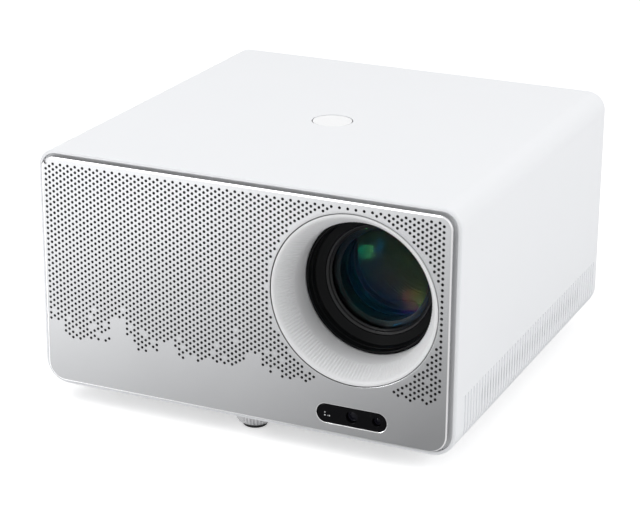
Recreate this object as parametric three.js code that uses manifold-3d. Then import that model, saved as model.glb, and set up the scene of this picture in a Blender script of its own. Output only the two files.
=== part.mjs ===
// A compact video projector: a white rounded sleeve with a perforated aluminium front, a deep
// lens hood, side air slots, a flush button on top and a screw foot under the front edge.
// Millimetres, +Z up, the front facing -Y. The origin is on the table, under the middle.

import * as THREE from 'three';
import { mergeVertices } from 'three/addons/utils/BufferGeometryUtils.js';
import Module from 'manifold-3d';

const wasm = await Module();
wasm.setup();

// Fits and facets shared by every piece
const clearance = 0.3;
const overrun = 1;
const smallestRound = 0.2;
const cornerFacets = 4;
const roundSteps = 2;
const largeFacets = 32;
const mediumFacets = 16;
const smallFacets = 8;

// Case
const caseWidth = 238;
const caseHeight = 132.4;
const sleeveDepth = 233;
const standHeight = 9.2;
const topCornerRadius = 10.5;
const bottomCornerRadius = 13.5;
const sleeveWall = 2.5;
const lipWall = 2.2;
const edgeRound = 1.7;
const rebateDepth = 8;
const panelProud = 3;
const panelGap = 1.05;

const depth = sleeveDepth + panelProud;
const frontY = -depth / 2;
const backY = depth / 2;
const sleeveFrontY = frontY + panelProud;
const rebateY = sleeveFrontY + rebateDepth;
const caseBottom = standHeight;
const caseTop = caseBottom + caseHeight;
const middleZ = (caseBottom + caseTop) / 2;
const panelInset = lipWall + panelGap;

// Side air grooves and slots, drawn at three times the real width and pitch, measured back from
// the sleeve's front and up from its bottom
const grooveStart = 15.1;
const grooveEnd = 225;
const groovePitch = 12.6;
const grooveWidth = 4.2;
const grooveDepth = 0.8;
const grooveHeight = 31;
const slotStart = 38;
const slotEnd = 197;
const slotLow = 16.3;
const slotHigh = 24;

// Opening for the base cover, with screw pads beside it
const baseLedge = 5.5;
const openingFrontSetback = 8;
const openingBackSetback = 12;
const openingRound = 6;
const padWidth = 14;
const padLength = 16;
const padHeight = 7;
const padOverhang = 9;
const padSetback = 3;
const padScrewInset = 4.5;

const openingHalf = caseWidth / 2 - bottomCornerRadius - baseLedge;
const openingFrontY = sleeveFrontY + openingFrontSetback;
const openingBackY = backY - openingBackSetback;
const openingMiddleY = (openingFrontY + openingBackY) / 2;
const openingLength = openingBackY - openingFrontY;
const baseScrewX = openingHalf - padScrewInset;
const baseScrewYs = [openingFrontY + padSetback + padLength / 2, openingBackY - padSetback - padLength / 2];

// Rear cover, its corner pads and its exhaust grille
const rearRecess = 3;
const rearThickness = 2.5;
const rearPadSize = 12;
const rearPadLength = 12;
const rearScrewInset = 7;
const rearScrewRise = 24;
const exhaustRadius = 36;
const exhaustSlotPitch = 9;
const exhaustSlotHeight = 4.5;

const rearOuterY = backY - rearRecess;
const rearInnerY = rearOuterY - rearThickness;
const rearScrewX = caseWidth / 2 - sleeveWall - rearScrewInset;
const rearScrewZs = [caseBottom + rearScrewRise, caseTop - rearScrewRise];

// Screws, all alike
const screwRadius = 1.5;
const screwLength = 7;
const screwHeadRadius = 2.8;
const screwHeadHeight = 1.1;

// Front panel with its perforation, drawn at five times the real bore and pitch
const panelThickness = 2;
const panelChamfer = 0.8;
const holeRowPitch = 15;
const holeColumnPitch = 11.05;
const holeSide = 6.65;
const holeEdgeMargin = 6.7;
const holeRingMargin = 5.3;
// How far below the middle the shallow and the deep stretches reach, as shares of the case's height
const shallowDropShare = 0.196;
const deepDropShare = 0.26;
// Where the ragged lower edge steps between shallow and deep, as shares of the panel's width
const raggedStepShares = [0.045, 0.16, 0.225, 0.295, 0.335, 0.515, 0.555, 1];

const panelBackY = frontY + panelThickness;

// Lens opening, placed from the case's right side and top and sized by the case's height, and the
// hood in it: steps in from the opening's edge, and depths back from the panel's face
const lensSideInset = 9.7;
const lensTopInset = 9.2;
const lensOpeningShare = 0.3467;
const hoodGap = 0.4;
const hoodLipStep = 2.2;
const hoodLipDepth = 0.75;
const hoodConeStep = 8;
const hoodConeDepth = 12.4;
const hoodThroatStep = 8.3;
const hoodDepth = 27;
const hoodWall = 2;
const hoodFlangeWidth = 2;
const hoodFlangeThickness = 2;

const lensOpeningRadius = lensOpeningShare * caseHeight;
const lensX = caseWidth / 2 - lensSideInset - lensOpeningRadius;
const lensZ = caseTop - lensTopInset - lensOpeningRadius;
const hoodLipRadius = lensOpeningRadius - hoodLipStep;
const hoodConeRadius = lensOpeningRadius - hoodConeStep;
const hoodThroatRadius = lensOpeningRadius - hoodThroatStep;

// Black frame behind the panel
const frameInset = 0.8;
const framePlate = 3;
const frameWall = 2.5;
const flangeThickness = 3;

const frameFrontY = panelBackY + clearance;
const framePlateBackY = frameFrontY + framePlate;
const frameBackY = rebateY - clearance;

// Sensor window under the lens, and what looks through it
const windowWidth = 38.5;
const windowHeight = 9.9;
const windowRise = 13.9;
const windowRecess = 0.3;
const windowThickness = 3.5;
const windowRim = 1.5;
const sensorBoardWidth = 46;
const sensorBoardHeight = 13;
const sensorBoardThickness = 1.6;
const sensorStandoff = 3;
const sensorStandoffRadius = 2;
const cameraRadius = 3;
const cameraLength = 4;
const distanceRadius = 2.2;
const distanceLength = 3.2;
const distanceOffset = 13.8;

const windowZ = caseBottom + windowRise;
const windowFrontY = frontY + windowRecess;
const windowBackY = windowFrontY + windowThickness;
const sensorBoardFrontY = framePlateBackY + sensorStandoff + clearance;

// Power button and its holder under the top
const buttonY = -2.5;
const buttonRadius = 11.8;
const buttonFlangeWidth = 1.7;
const buttonFlangeThickness = 1.5;
const buttonRecess = 0.15;
const buttonTravel = 1;
const buttonStemRadius = 2;
const holderFlangeRadius = 20;
const holderWall = 1.8;
const holderDepth = 9;
const switchWidth = 6;
const switchHeight = 3.5;

const buttonHoleRadius = buttonRadius + clearance;
const buttonFlangeTop = caseTop - sleeveWall - clearance;
const buttonFlangeRadius = buttonRadius + buttonFlangeWidth;
const holderFloorTop = buttonFlangeTop - holderDepth + holderWall;
const switchTop = holderFloorTop + clearance + switchHeight;

// Screw foot under the front edge
const footSetback = 18.5;
const footPadRadius = 6.6;
const footPadThickness = 1.5;
const footPinRadius = 2;
const footPinHeight = 4;
const footWheelRadius = 10;
const footWheelTaper = 3.1;
const footWheelTaperHeight = 2.2;
const footFluteCount = 22;
const footFluteDepth = 0.55;
const footStemRadius = 3;
const footStemLength = 16;
const bushRadius = 5;
const bushFlangeWidth = 2;
const bushFlangeThickness = 1.5;
const bushHeight = 15;
const bushBossWall = 1.7;

const footY = frontY + footSetback;
const wheelBottom = footPadThickness + clearance;
const wheelTop = caseBottom - clearance;
const basePlateThickness = sleeveWall - clearance;
const basePlateTop = caseBottom + basePlateThickness;
const bushBossTop = basePlateTop + bushHeight;

// Rear rubber feet in bosses of the base cover
const rearFootSideInset = 22;
const rearFootSetback = 30;
const rearFootRadius = 8.5;
const rearFootHeight = 4;
const rearFootRecess = 1.4;
const rearBossRadius = 11;
const rearBossTaper = 1.2;

const rearFootX = openingHalf - rearFootSideInset;
const rearFootY = backY - rearFootSetback;

// Tripod socket in the middle of the base
const tripodBoreRadius = 3.2;
const tripodRadius = 6;
const tripodHeight = 9;
const tripodBossWall = 2.7;

// Lens barrel: steps in from its outer radius, and depths back from its own front rim
const barrelSetback = 24.4;
const barrelGap = 0.6;
const barrelRim = 1.2;
const barrelFrontLength = 27.6;
const barrelStepInset = 2.4;
const barrelStepDepth = 6.6;
const barrelBandDepth = 8.6;
const barrelSeatInset = 7;
const barrelSeatDepth = 16.4;
const barrelBoreInset = 13;
const barrelTubeInset = 8;
const barrelTubeLength = 24.5;
const rearSeatInset = 11;
const rearSeatDepth = 6;
const ringThickness = 3;
const ringWidth = 2.6;
const ringChamferDepth = 2.2;
const glassEdge = 4;
const glassFlat = 2.8;
const glassCurveRadius = 90;
const rearGlassEdge = 3;
const rearGlassCurveRadius = 60;
const glassSteps = 4;
const focusTravel = 3;

const barrelRadius = hoodThroatRadius - barrelGap;
const barrelStepRadius = barrelRadius - barrelStepInset;
const barrelSeatRadius = barrelRadius - barrelSeatInset;
const barrelBoreRadius = barrelRadius - barrelBoreInset;
const barrelTubeRadius = barrelRadius - barrelTubeInset;
const rearSeatRadius = barrelRadius - rearSeatInset;
const ringInnerRadius = barrelSeatRadius - ringWidth;
const barrelFrontY = frontY + barrelSetback;
const barrelShoulderY = barrelFrontY + barrelFrontLength;
const barrelBackY = barrelShoulderY + barrelTubeLength;
const ringFrontY = barrelFrontY + barrelBandDepth + clearance;
const ringBackY = ringFrontY + ringThickness;

// Lens mount and the optical engine behind it
const mountStandoff = 1;
const mountLength = 19.7;
const mountWall = 3.5;
const mountFlangeRim = 1;
const mountFlangeThickness = 4;
const engineFrontRim = 7;
const enginePlate = 4;
const engineHeightStep = 14;
const engineWall = 4;
const engineLengthShare = 0.339;
const cardSlotDepth = 1.5;
const fresnelThickness = 2;
const lcdThickness = 4;
const lcdSideBorder = 10;
const lcdEndBorder = 14;
const lcdWindowDepth = 1;
// Where the three cards stand in the light tunnel, as shares of the engine's length
const cardShares = [0.2, 0.34, 0.48];

const mountFlangeRadius = barrelRadius + mountFlangeRim;
const engineWidth = 2 * mountFlangeRadius;
const engineFrontWidth = engineWidth + 2 * engineFrontRim;
const engineFrontHeight = 2 * mountFlangeRadius;
const engineHeight = engineFrontHeight - engineHeightStep;
const engineLength = engineLengthShare * depth;
const lcdWindowWidth = engineWidth - 2 * lcdSideBorder;
const lcdWindowHeight = engineHeight - 2 * lcdEndBorder;
const mountFrontY = barrelShoulderY + focusTravel + mountStandoff;
const engineFrontY = mountFrontY + mountLength + clearance;
const engineBackY = engineFrontY + engineLength;
const engineBottom = lensZ - engineHeight / 2;

// Light source and its heat sink
const ledPlate = 5;
const ledChipSize = 30;
const ledChipThickness = 2;
const sinkBase = 5;
const sinkHeight = 70;
const finCount = 12;
const finThickness = 1.6;
const finEndGap = 5.6;

const sinkWidth = engineWidth;
const sinkFrontY = engineBackY + clearance + ledPlate + clearance;

// Focus drive on the lower left corner of the engine's front plate
const focusSideInset = 8;
const focusEndInset = 7;
const focusMotorRadius = 7;
const focusMotorLength = 15;
const focusScrewRadius = 1.8;
const focusScrewReach = 22;
const focusScrewSunk = 5;
const focusRail = 2;
const focusNutLength = 6;
const focusNutWidth = 9;
const focusNutReach = 5;
const focusNutSetback = 4.5;

const focusOffsetX = focusSideInset - engineFrontWidth / 2;
const focusOffsetZ = focusEndInset - engineFrontHeight / 2;
const focusX = lensX + focusOffsetX;
const focusZ = lensZ + focusOffsetZ;
const focusMotorFrontY = engineFrontY - clearance - focusMotorLength;
const focusScrewFrontY = focusMotorFrontY - focusScrewReach;
const focusNutY = barrelShoulderY - focusNutSetback;

// Fans
const exhaustFanMargin = 4;
const exhaustFanDepth = 15;
const intakeFanDepth = 12;
const fanWall = 2;
const fanTipGap = 1.2;
const fanHubShare = 0.42;
const fanHubSetbackShare = 0.15;
const fanBladeCount = 7;
const fanBladeThickness = 1.2;
const fanBladeRoot = 3;
const fanBladeChordShare = 0.86;
// Angle between the blade and the axis, in radians
const fanBladePitch = 0.9;
const fanStrutWidth = 4;
const fanStrutThickness = 2;
const fanShaftRadius = 1.5;
const intakeSlotPitch = 7;
const intakeSlotWidth = 3.5;

const exhaustFanSize = engineWidth + exhaustFanMargin;
const exhaustFanFrontY = rearInnerY - clearance - exhaustFanDepth;
const finLength = exhaustFanFrontY - finEndGap - sinkFrontY - sinkBase;

// Boards on posts of the base cover
const postWidth = 7;
const postFanGap = 1.8;
const postPlateGap = 1.2;
const postSupplyGap = 1.8;
const mainBoardSideInset = 13;
const mainBoardGap = 30;
const mainBoardLength = 88;
const mainBoardBackGap = 4.5;
const mainBoardRiseShare = 0.366;
const boardThickness = 1.6;
const boardPostInset = 8;
const supplySideInset = 39;
const supplyGap = 15;
const supplyFrontInset = 88;
const supplyBackInset = 28;
const supplyHeight = 6;
const supplyPostInset = 5;
const chipHeight = 3;
const coolerHeight = 9;
const transformerHeight = 24;
const capacitorRadius = 8;
const capacitorHeight = 27;

// The intake fan lies under the engine, between the posts that carry it
const underEngineLength = engineLength - enginePlate;
const intakeFanSize = underEngineLength - 2 * (postPlateGap + postWidth + postFanGap);
const intakeFanY = engineFrontY + enginePlate + underEngineLength / 2;
const mainBoardLeft = mainBoardSideInset - caseWidth / 2;
const mainBoardRight = lensX - engineFrontWidth / 2 - mainBoardGap;
const supplyLeft = supplySideInset - caseWidth / 2;
const supplyRight = -tripodRadius - clearance - tripodBossWall - supplyGap;
const supplyFront = frontY + supplyFrontInset;
const supplyBack = backY - supplyBackInset;
const mainBoardBack = rearInnerY - mainBoardBackGap;
const mainBoardFront = mainBoardBack - mainBoardLength;
const mainBoardBottom = basePlateTop + mainBoardRiseShare * caseHeight;
const mainBoardTop = mainBoardBottom + boardThickness;
const supplyBottom = basePlateTop + supplyHeight;
const supplyTop = supplyBottom + boardThickness;

// Connectors through the rear cover
const portLength = 14;
const portShell = 0.7;
const portBack = 2;
const hdmiWidth = 15;
const hdmiHeight = 5.6;
const usbWidth = 13.1;
const usbHeight = 5.8;
const jackSize = 8;
const jackBoreRadius = 1.8;
const inletWidth = 14;
const inletHeight = 8;
const inletShell = 2.5;
const inletLength = 20;
const inletBack = 5;
const inletPinRadius = 1.2;
const inletPinSpacing = 8.6;
const inletPinSetback = 4;
// Places of the sockets' middles along the main board's rear edge
const portOffsets = [10, 28.5, 46, 62.5, 75.5];

// Speakers behind the perforation
const speakerSideInset = 12;
const speakerLensGap = 16.5;
const speakerSpacing = 8;
const speakerTopInset = 13.6;
const speakerBottomInset = 42.8;
const speakerDepth = 40;
const speakerConeShare = 0.4;
const speakerConeDepth = 8;
const speakerDomeRadius = 7;
const speakerDomeHeight = 3;
const speakerDomeShoulderHeight = 2.4;

const speakersLeft = speakerSideInset - caseWidth / 2;
const speakersRight = lensX - lensOpeningRadius - speakerLensGap;
const speakerWidth = (speakersRight - speakersLeft - speakerSpacing) / 2;
const speakerHeight = caseHeight - speakerTopInset - speakerBottomInset;
const speakerXs = [speakersLeft + speakerWidth / 2, speakersRight - speakerWidth / 2];
const speakerConeRadius = speakerConeShare * speakerWidth;
const speakerZ = caseTop - speakerTopInset - speakerHeight / 2;
const speakerFrontY = framePlateBackY + clearance;

// A closed geometry as a solid that can be joined and cut, its faces pointing out
function solidOf(geometry) {
  const bare = geometry.clone();
  bare.deleteAttribute('normal');
  bare.deleteAttribute('uv');
  const merged = mergeVertices(bare);
  const points = merged.attributes.position.array;
  const index = merged.index.array;
  const triangles = [];
  let sixVolumes = 0;
  for (let i = 0; i < index.length; i += 3) {
    const [a, b, c] = [index[i], index[i + 1], index[i + 2]];
    if (a === b || b === c || c === a) continue;
    triangles.push([a, b, c]);
    const corner = [a, b, c].map((k) => new THREE.Vector3().fromArray(points, 3 * k));
    sixVolumes += corner[0].dot(corner[1].cross(corner[2]));
  }
  if (sixVolumes < 0) triangles.forEach((triangle) => triangle.reverse());
  return new wasm.Manifold(new wasm.Mesh({
    numProp: 3,
    vertProperties: new Float32Array(points),
    triVerts: new Uint32Array(triangles.flat()),
  }));
}

// The solid's triangles as a geometry for a mesh
function geometryOf(solid) {
  const mesh = solid.getMesh();
  const geometry = new THREE.BufferGeometry();
  geometry.setAttribute('position', new THREE.BufferAttribute(new Float32Array(mesh.vertProperties), 3));
  geometry.setIndex(new THREE.BufferAttribute(new Uint32Array(mesh.triVerts), 1));
  geometry.computeVertexNormals();
  return geometry;
}

// A shape or a list of shapes drawn to a length, with its end edges rounded if asked
function extrude(shapes, length, round = 0) {
  const geometry = new THREE.ExtrudeGeometry(shapes, {
    depth: length - 2 * round,
    bevelEnabled: round > 0,
    bevelThickness: round,
    bevelSize: round,
    bevelOffset: -round,
    bevelSegments: roundSteps,
    curveSegments: cornerFacets,
  });
  return geometry.translate(0, 0, round);
}

// Shapes drawn in x and y, extruded up
function alongZ(shapes, fromZ, toZ, round = 0) {
  return solidOf(extrude(shapes, toZ - fromZ, round).translate(0, 0, fromZ));
}

// Shapes drawn in x and z, extruded back
function alongY(shapes, fromY, toY, round = 0) {
  return solidOf(extrude(shapes, toY - fromY, round).rotateX(Math.PI / 2).translate(0, toY, 0));
}

// Shapes drawn in y and z, extruded to the right
function alongX(shapes, fromX, toX, round = 0) {
  const geometry = extrude(shapes, toX - fromX, round).rotateX(Math.PI / 2).rotateZ(Math.PI / 2);
  return solidOf(geometry.translate(fromX, 0, 0));
}

// A profile of radius and height, turned about an upright axis
function turnedZ(profile, x, y, facets) {
  const points = profile.map(([radius, height]) => new THREE.Vector2(radius, height));
  return solidOf(new THREE.LatheGeometry(points, facets).rotateX(Math.PI / 2).translate(x, y, 0));
}

// A profile of radius and place along y, turned about an axis that runs front to back
function turnedY(profile, x, z, facets) {
  const points = profile.map(([radius, place]) => new THREE.Vector2(radius, place));
  return solidOf(new THREE.LatheGeometry(points, facets).translate(x, 0, z));
}

function box(fromX, toX, fromY, toY, fromZ, toZ) {
  const geometry = new THREE.BoxGeometry(toX - fromX, toY - fromY, toZ - fromZ);
  return solidOf(geometry.translate((fromX + toX) / 2, (fromY + toY) / 2, (fromZ + toZ) / 2));
}

function rodZ(radius, x, y, fromZ, toZ, facets = smallFacets) {
  return turnedZ([[0, fromZ], [radius, fromZ], [radius, toZ], [0, toZ]], x, y, facets);
}

function rodY(radius, x, z, fromY, toY, facets = smallFacets) {
  return turnedY([[0, fromY], [radius, fromY], [radius, toY], [0, toY]], x, z, facets);
}

function roundedRectangle(x, y, width, height, topRadius, bottomRadius = topRadius) {
  const [left, right] = [x - width / 2, x + width / 2];
  const [bottom, top] = [y - height / 2, y + height / 2];
  const shape = new THREE.Shape();
  shape.moveTo(left + bottomRadius, bottom);
  shape.absarc(right - bottomRadius, bottom + bottomRadius, bottomRadius, -Math.PI / 2, 0);
  shape.absarc(right - topRadius, top - topRadius, topRadius, 0, Math.PI / 2);
  shape.absarc(left + topRadius, top - topRadius, topRadius, Math.PI / 2, Math.PI);
  shape.absarc(left + bottomRadius, bottom + bottomRadius, bottomRadius, Math.PI, 1.5 * Math.PI);
  return shape;
}

function rectangle(fromX, toX, fromY, toY) {
  const shape = new THREE.Shape();
  shape.moveTo(fromX, fromY);
  shape.lineTo(toX, fromY);
  shape.lineTo(toX, toY);
  shape.lineTo(fromX, toY);
  return shape;
}

// The case's cross-section, drawn in from its outer face
function caseOutline(inset) {
  const topRadius = Math.max(topCornerRadius - inset, smallestRound);
  const bottomRadius = Math.max(bottomCornerRadius - inset, smallestRound);
  return roundedRectangle(0, middleZ, caseWidth - 2 * inset, caseHeight - 2 * inset, topRadius, bottomRadius);
}

// The base cover's outline, drawn in from the sleeve's opening
function openingOutline(inset) {
  const width = 2 * (openingHalf - inset);
  return roundedRectangle(0, openingMiddleY, width, openingLength - 2 * inset, openingRound);
}

// The sensor window's outline, a bar with round ends, drawn in from its edge
function windowOutline(inset) {
  const height = windowHeight - 2 * inset;
  return roundedRectangle(lensX, windowZ, windowWidth - 2 * inset, height, height / 2 - smallestRound);
}

// A solid through rings of points, each ring convex and with as many points as the next
function loft(rings) {
  const count = rings[0].length;
  const index = [];
  for (let ring = 0; ring + 1 < rings.length; ring += 1) {
    for (let i = 0; i < count; i += 1) {
      const next = (i + 1) % count;
      const [a, b] = [ring * count + i, ring * count + next];
      index.push(a, b, b + count, a, b + count, a + count);
    }
  }
  const last = (rings.length - 1) * count;
  for (let i = 1; i + 1 < count; i += 1) {
    index.push(0, i + 1, i);
    index.push(last, last + i, last + i + 1);
  }
  const geometry = new THREE.BufferGeometry();
  geometry.setFromPoints(rings.flat());
  geometry.setIndex(index);
  return solidOf(geometry);
}

function joined(solids) {
  return solids.reduce((whole, next) => whole.add(next));
}

const projector = new THREE.Group();

function finish(color, roughness, metalness = 0) {
  return { color, roughness, metalness };
}

const whitePaint = finish(0xf1f1f3, 0.5);
const blackPlastic = finish(0x161617, 0.55);
const silver = finish(0xc9cacc, 0.35, 1);
const darkSteel = finish(0x6a6c70, 0.4, 1);
const rubber = finish(0x1c1c1d, 0.9);
const glass = finish(0x18242a, 0.05);
const circuitGreen = finish(0x1f4a33, 0.6);
const brass = finish(0xb8964f, 0.35, 1);

function piece(name, solid, look) {
  const mesh = new THREE.Mesh(geometryOf(solid), new THREE.MeshStandardMaterial(look));
  mesh.name = name;
  projector.add(mesh);
}

// Sleeve

// Centre lines of the side grooves, front to back
function grooveYs() {
  const count = Math.floor((grooveEnd - grooveStart) / groovePitch) + 1;
  return Array.from({ length: count }, (_, i) => sleeveFrontY + grooveStart + i * groovePitch);
}

function sideCuts(side) {
  const face = caseWidth / 2;
  const half = grooveWidth / 2;
  const grooves = grooveYs().map((y) => rectangle(
    y - half, y + half, caseBottom - overrun, caseBottom + grooveHeight));
  const slots = grooveYs().filter((y) => y >= sleeveFrontY + slotStart && y <= sleeveFrontY + slotEnd)
    .map((y) => rectangle(y - half, y + half, caseBottom + slotLow, caseBottom + slotHigh));
  const [grooveX, slotX, outsideX] = [face - grooveDepth, face - sleeveWall - overrun, face + overrun];
  const cuts = side > 0
    ? [alongX(grooves, grooveX, outsideX), alongX(slots, slotX, outsideX)]
    : [alongX(grooves, -outsideX, -grooveX), alongX(slots, -outsideX, -slotX)];
  return joined(cuts);
}

// Pads inside the sleeve that the base cover's and the rear cover's screws bite into
function screwPads() {
  const floor = caseBottom + sleeveWall / 2;
  const pads = [];
  for (const side of [-1, 1]) {
    const inner = side * (openingHalf - padOverhang);
    const ledge = side * (openingHalf + overrun);
    const outer = side * (openingHalf - padOverhang + padWidth);
    for (const y of baseScrewYs) {
      pads.push(box(Math.min(inner, outer), Math.max(inner, outer), y - padLength / 2, y + padLength / 2,
        caseBottom + sleeveWall, caseBottom + sleeveWall + padHeight));
      pads.push(box(Math.min(ledge, outer), Math.max(ledge, outer), y - padLength / 2, y + padLength / 2,
        floor, caseBottom + sleeveWall + padHeight));
    }
    const wallX = side * (caseWidth / 2 - sleeveWall / 2);
    const padX = side * (caseWidth / 2 - sleeveWall - rearPadSize);
    const fromY = rearInnerY - clearance - rearPadLength;
    for (const z of rearScrewZs) {
      pads.push(box(Math.min(wallX, padX), Math.max(wallX, padX), fromY, rearInnerY - clearance,
        z - rearPadSize / 2, z + rearPadSize / 2));
    }
  }
  return joined(pads);
}

function screwHoles() {
  const radius = screwRadius + clearance;
  const reach = screwLength + overrun;
  const holes = [];
  for (const side of [-1, 1]) {
    for (const y of baseScrewYs) {
      holes.push(rodZ(radius, side * baseScrewX, y, caseBottom - overrun, caseBottom + reach));
    }
    for (const z of rearScrewZs) {
      holes.push(rodY(radius, side * rearScrewX, z, rearOuterY - reach, rearOuterY + overrun));
    }
  }
  return joined(holes);
}

function sleeve() {
  const hollow = joined([
    alongY(caseOutline(lipWall), sleeveFrontY - overrun, rebateY),
    alongY(caseOutline(sleeveWall), rebateY - overrun, backY + overrun),
    alongZ(openingOutline(0), caseBottom - overrun, caseBottom + sleeveWall + overrun),
    rodZ(buttonHoleRadius, 0, buttonY, caseTop - sleeveWall - overrun, caseTop + overrun, mediumFacets),
  ]);
  return alongY(caseOutline(0), sleeveFrontY, backY, edgeRound)
    .subtract(hollow)
    .add(screwPads())
    .subtract(sideCuts(1))
    .subtract(sideCuts(-1))
    .subtract(screwHoles());
}

piece('sleeve', sleeve(), whitePaint);

// Base cover

function postPlaces(left, right, front, back, inset) {
  return [left + inset, right - inset].flatMap((x) => [front + inset, back - inset].map((y) => [x, y]));
}

// Tall posts carry the main board and the optical engine, short ones the power supply
function basePosts() {
  const half = postWidth / 2;
  const post = (x, y, top) => box(x - half, x + half, y - half, y + half, basePlateTop - overrun, top);
  const beside = half + postSupplyGap;
  const boardPosts = postPlaces(supplyLeft - beside, supplyRight + beside,
    mainBoardFront + boardPostInset, mainBoardBack - boardPostInset, 0);
  const supplyPosts = postPlaces(supplyLeft, supplyRight, supplyFront, supplyBack, supplyPostInset);
  const engineReach = engineWidth / 2 - postWidth;
  const engineYs = [-1, 1].map((side) => intakeFanY + side * (intakeFanSize / 2 + postFanGap + half));
  const enginePosts = [lensX - engineReach, lensX + engineReach].flatMap((x) => engineYs.map((y) => [x, y]));
  return joined([
    ...boardPosts.map(([x, y]) => post(x, y, mainBoardBottom - clearance)),
    ...supplyPosts.map(([x, y]) => post(x, y, supplyBottom - clearance)),
    ...enginePosts.map(([x, y]) => post(x, y, engineBottom - clearance)),
  ]);
}

// Bosses for the screw foot's bush, the tripod insert and the two rubber feet
function baseBosses() {
  const tripodTop = caseBottom + tripodHeight + clearance + tripodBossWall;
  const bossBottom = rearFootHeight - rearFootRecess;
  const rearBoss = (x) => turnedZ([
    [0, bossBottom],
    [rearBossRadius - rearBossTaper, bossBottom],
    [rearBossRadius, caseBottom],
    [rearBossRadius, basePlateTop],
    [0, basePlateTop],
  ], x, rearFootY, mediumFacets);
  return joined([
    rodZ(bushRadius + clearance + bushBossWall, 0, footY, caseBottom, bushBossTop, mediumFacets),
    rodZ(tripodRadius + clearance + tripodBossWall, 0, 0, caseBottom, tripodTop, mediumFacets),
    rearBoss(-rearFootX),
    rearBoss(rearFootX),
  ]);
}

// Air slots under the intake fan
function intakeSlots() {
  const reach = intakeFanSize / 2 - fanWall - clearance;
  const count = Math.floor((2 * reach - intakeSlotWidth) / intakeSlotPitch) + 1;
  const first = lensX - (count - 1) * intakeSlotPitch / 2;
  const slots = Array.from({ length: count }, (_, i) => first + i * intakeSlotPitch).map((x) => {
    const half = Math.sqrt(reach * reach - (x - lensX) * (x - lensX)) - intakeSlotWidth / 2;
    return rectangle(x - intakeSlotWidth / 2, x + intakeSlotWidth / 2, intakeFanY - half, intakeFanY + half);
  });
  return alongZ(slots, caseBottom - overrun, basePlateTop + overrun);
}

function baseCover() {
  const headDepth = screwHeadHeight + clearance / 3;
  const tripodPocketTop = caseBottom + tripodHeight + clearance;
  const cuts = [
    rodZ(bushRadius + clearance, 0, footY, caseBottom - overrun, bushBossTop + overrun, mediumFacets),
    rodZ(tripodRadius + clearance, 0, 0, caseBottom - overrun, tripodPocketTop, mediumFacets),
    intakeSlots(),
  ];
  for (const side of [-1, 1]) {
    cuts.push(rodZ(rearFootRadius + clearance, side * rearFootX, rearFootY,
      0, rearFootHeight + clearance, mediumFacets));
    for (const y of baseScrewYs) {
      const x = side * baseScrewX;
      cuts.push(rodZ(screwRadius + clearance, x, y, caseBottom - overrun, basePlateTop + overrun));
      cuts.push(rodZ(screwHeadRadius + clearance, x, y, caseBottom - overrun, caseBottom + headDepth));
    }
  }
  return alongZ(openingOutline(clearance), caseBottom, basePlateTop)
    .add(baseBosses())
    .add(basePosts())
    .subtract(joined(cuts));
}

piece('base_cover', baseCover(), whitePaint);

// Rear cover

// The connectors in their order along the board, with their shells' outer sizes
const ports = [
  { name: 'hdmi_port_1', width: hdmiWidth, height: hdmiHeight },
  { name: 'hdmi_port_2', width: hdmiWidth, height: hdmiHeight },
  { name: 'usb_port_1', width: usbWidth, height: usbHeight },
  { name: 'usb_port_2', width: usbWidth, height: usbHeight },
  { name: 'audio_jack', width: jackSize - 2 * portShell, height: jackSize - 2 * portShell },
].map((port, i) => {
  const bottom = mainBoardTop + clearance;
  return {
    ...port,
    x: mainBoardLeft + portOffsets[i],
    z: bottom + portShell + port.height / 2,
    halfWidth: port.width / 2 + portShell,
    halfHeight: port.height / 2 + portShell,
  };
});
const inletX = (supplyLeft + supplyRight) / 2;
const inletZ = supplyTop + clearance + inletShell + inletHeight / 2;

function portWindows() {
  const windows = ports.map((port) => rectangle(
    port.x - port.halfWidth - clearance, port.x + port.halfWidth + clearance,
    port.z - port.halfHeight - clearance, port.z + port.halfHeight + clearance));
  const halfWidth = inletWidth / 2 + inletShell + clearance;
  const halfHeight = inletHeight / 2 + inletShell + clearance;
  windows.push(rectangle(inletX - halfWidth, inletX + halfWidth, inletZ - halfHeight, inletZ + halfHeight));
  return windows;
}

function exhaustSlots() {
  const count = Math.floor((2 * exhaustRadius - exhaustSlotHeight) / exhaustSlotPitch) + 1;
  const first = lensZ - (count - 1) * exhaustSlotPitch / 2;
  return Array.from({ length: count }, (_, i) => first + i * exhaustSlotPitch).map((z) => {
    const rise = Math.abs(z - lensZ) + exhaustSlotHeight / 2;
    const half = Math.sqrt(exhaustRadius * exhaustRadius - rise * rise) + exhaustSlotHeight / 2;
    return rectangle(lensX - half, lensX + half, z - exhaustSlotHeight / 2, z + exhaustSlotHeight / 2);
  });
}

function rearCover() {
  const holes = [-rearScrewX, rearScrewX].flatMap((x) => rearScrewZs.map((z) => (
    rodY(screwRadius + clearance, x, z, rearInnerY - overrun, rearOuterY + overrun))));
  return alongY(caseOutline(sleeveWall + clearance), rearInnerY, rearOuterY)
    .subtract(alongY([...portWindows(), ...exhaustSlots()], rearInnerY - overrun, rearOuterY + overrun))
    .subtract(joined(holes));
}

piece('rear_cover', rearCover(), whitePaint);

// Screws

function screwProfile(headFace, direction) {
  const underHead = headFace + direction * screwHeadHeight;
  const tip = headFace + direction * screwLength;
  return [[0, headFace], [screwHeadRadius, headFace], [screwHeadRadius, underHead],
    [screwRadius, underHead], [screwRadius, tip], [0, tip]];
}

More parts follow.
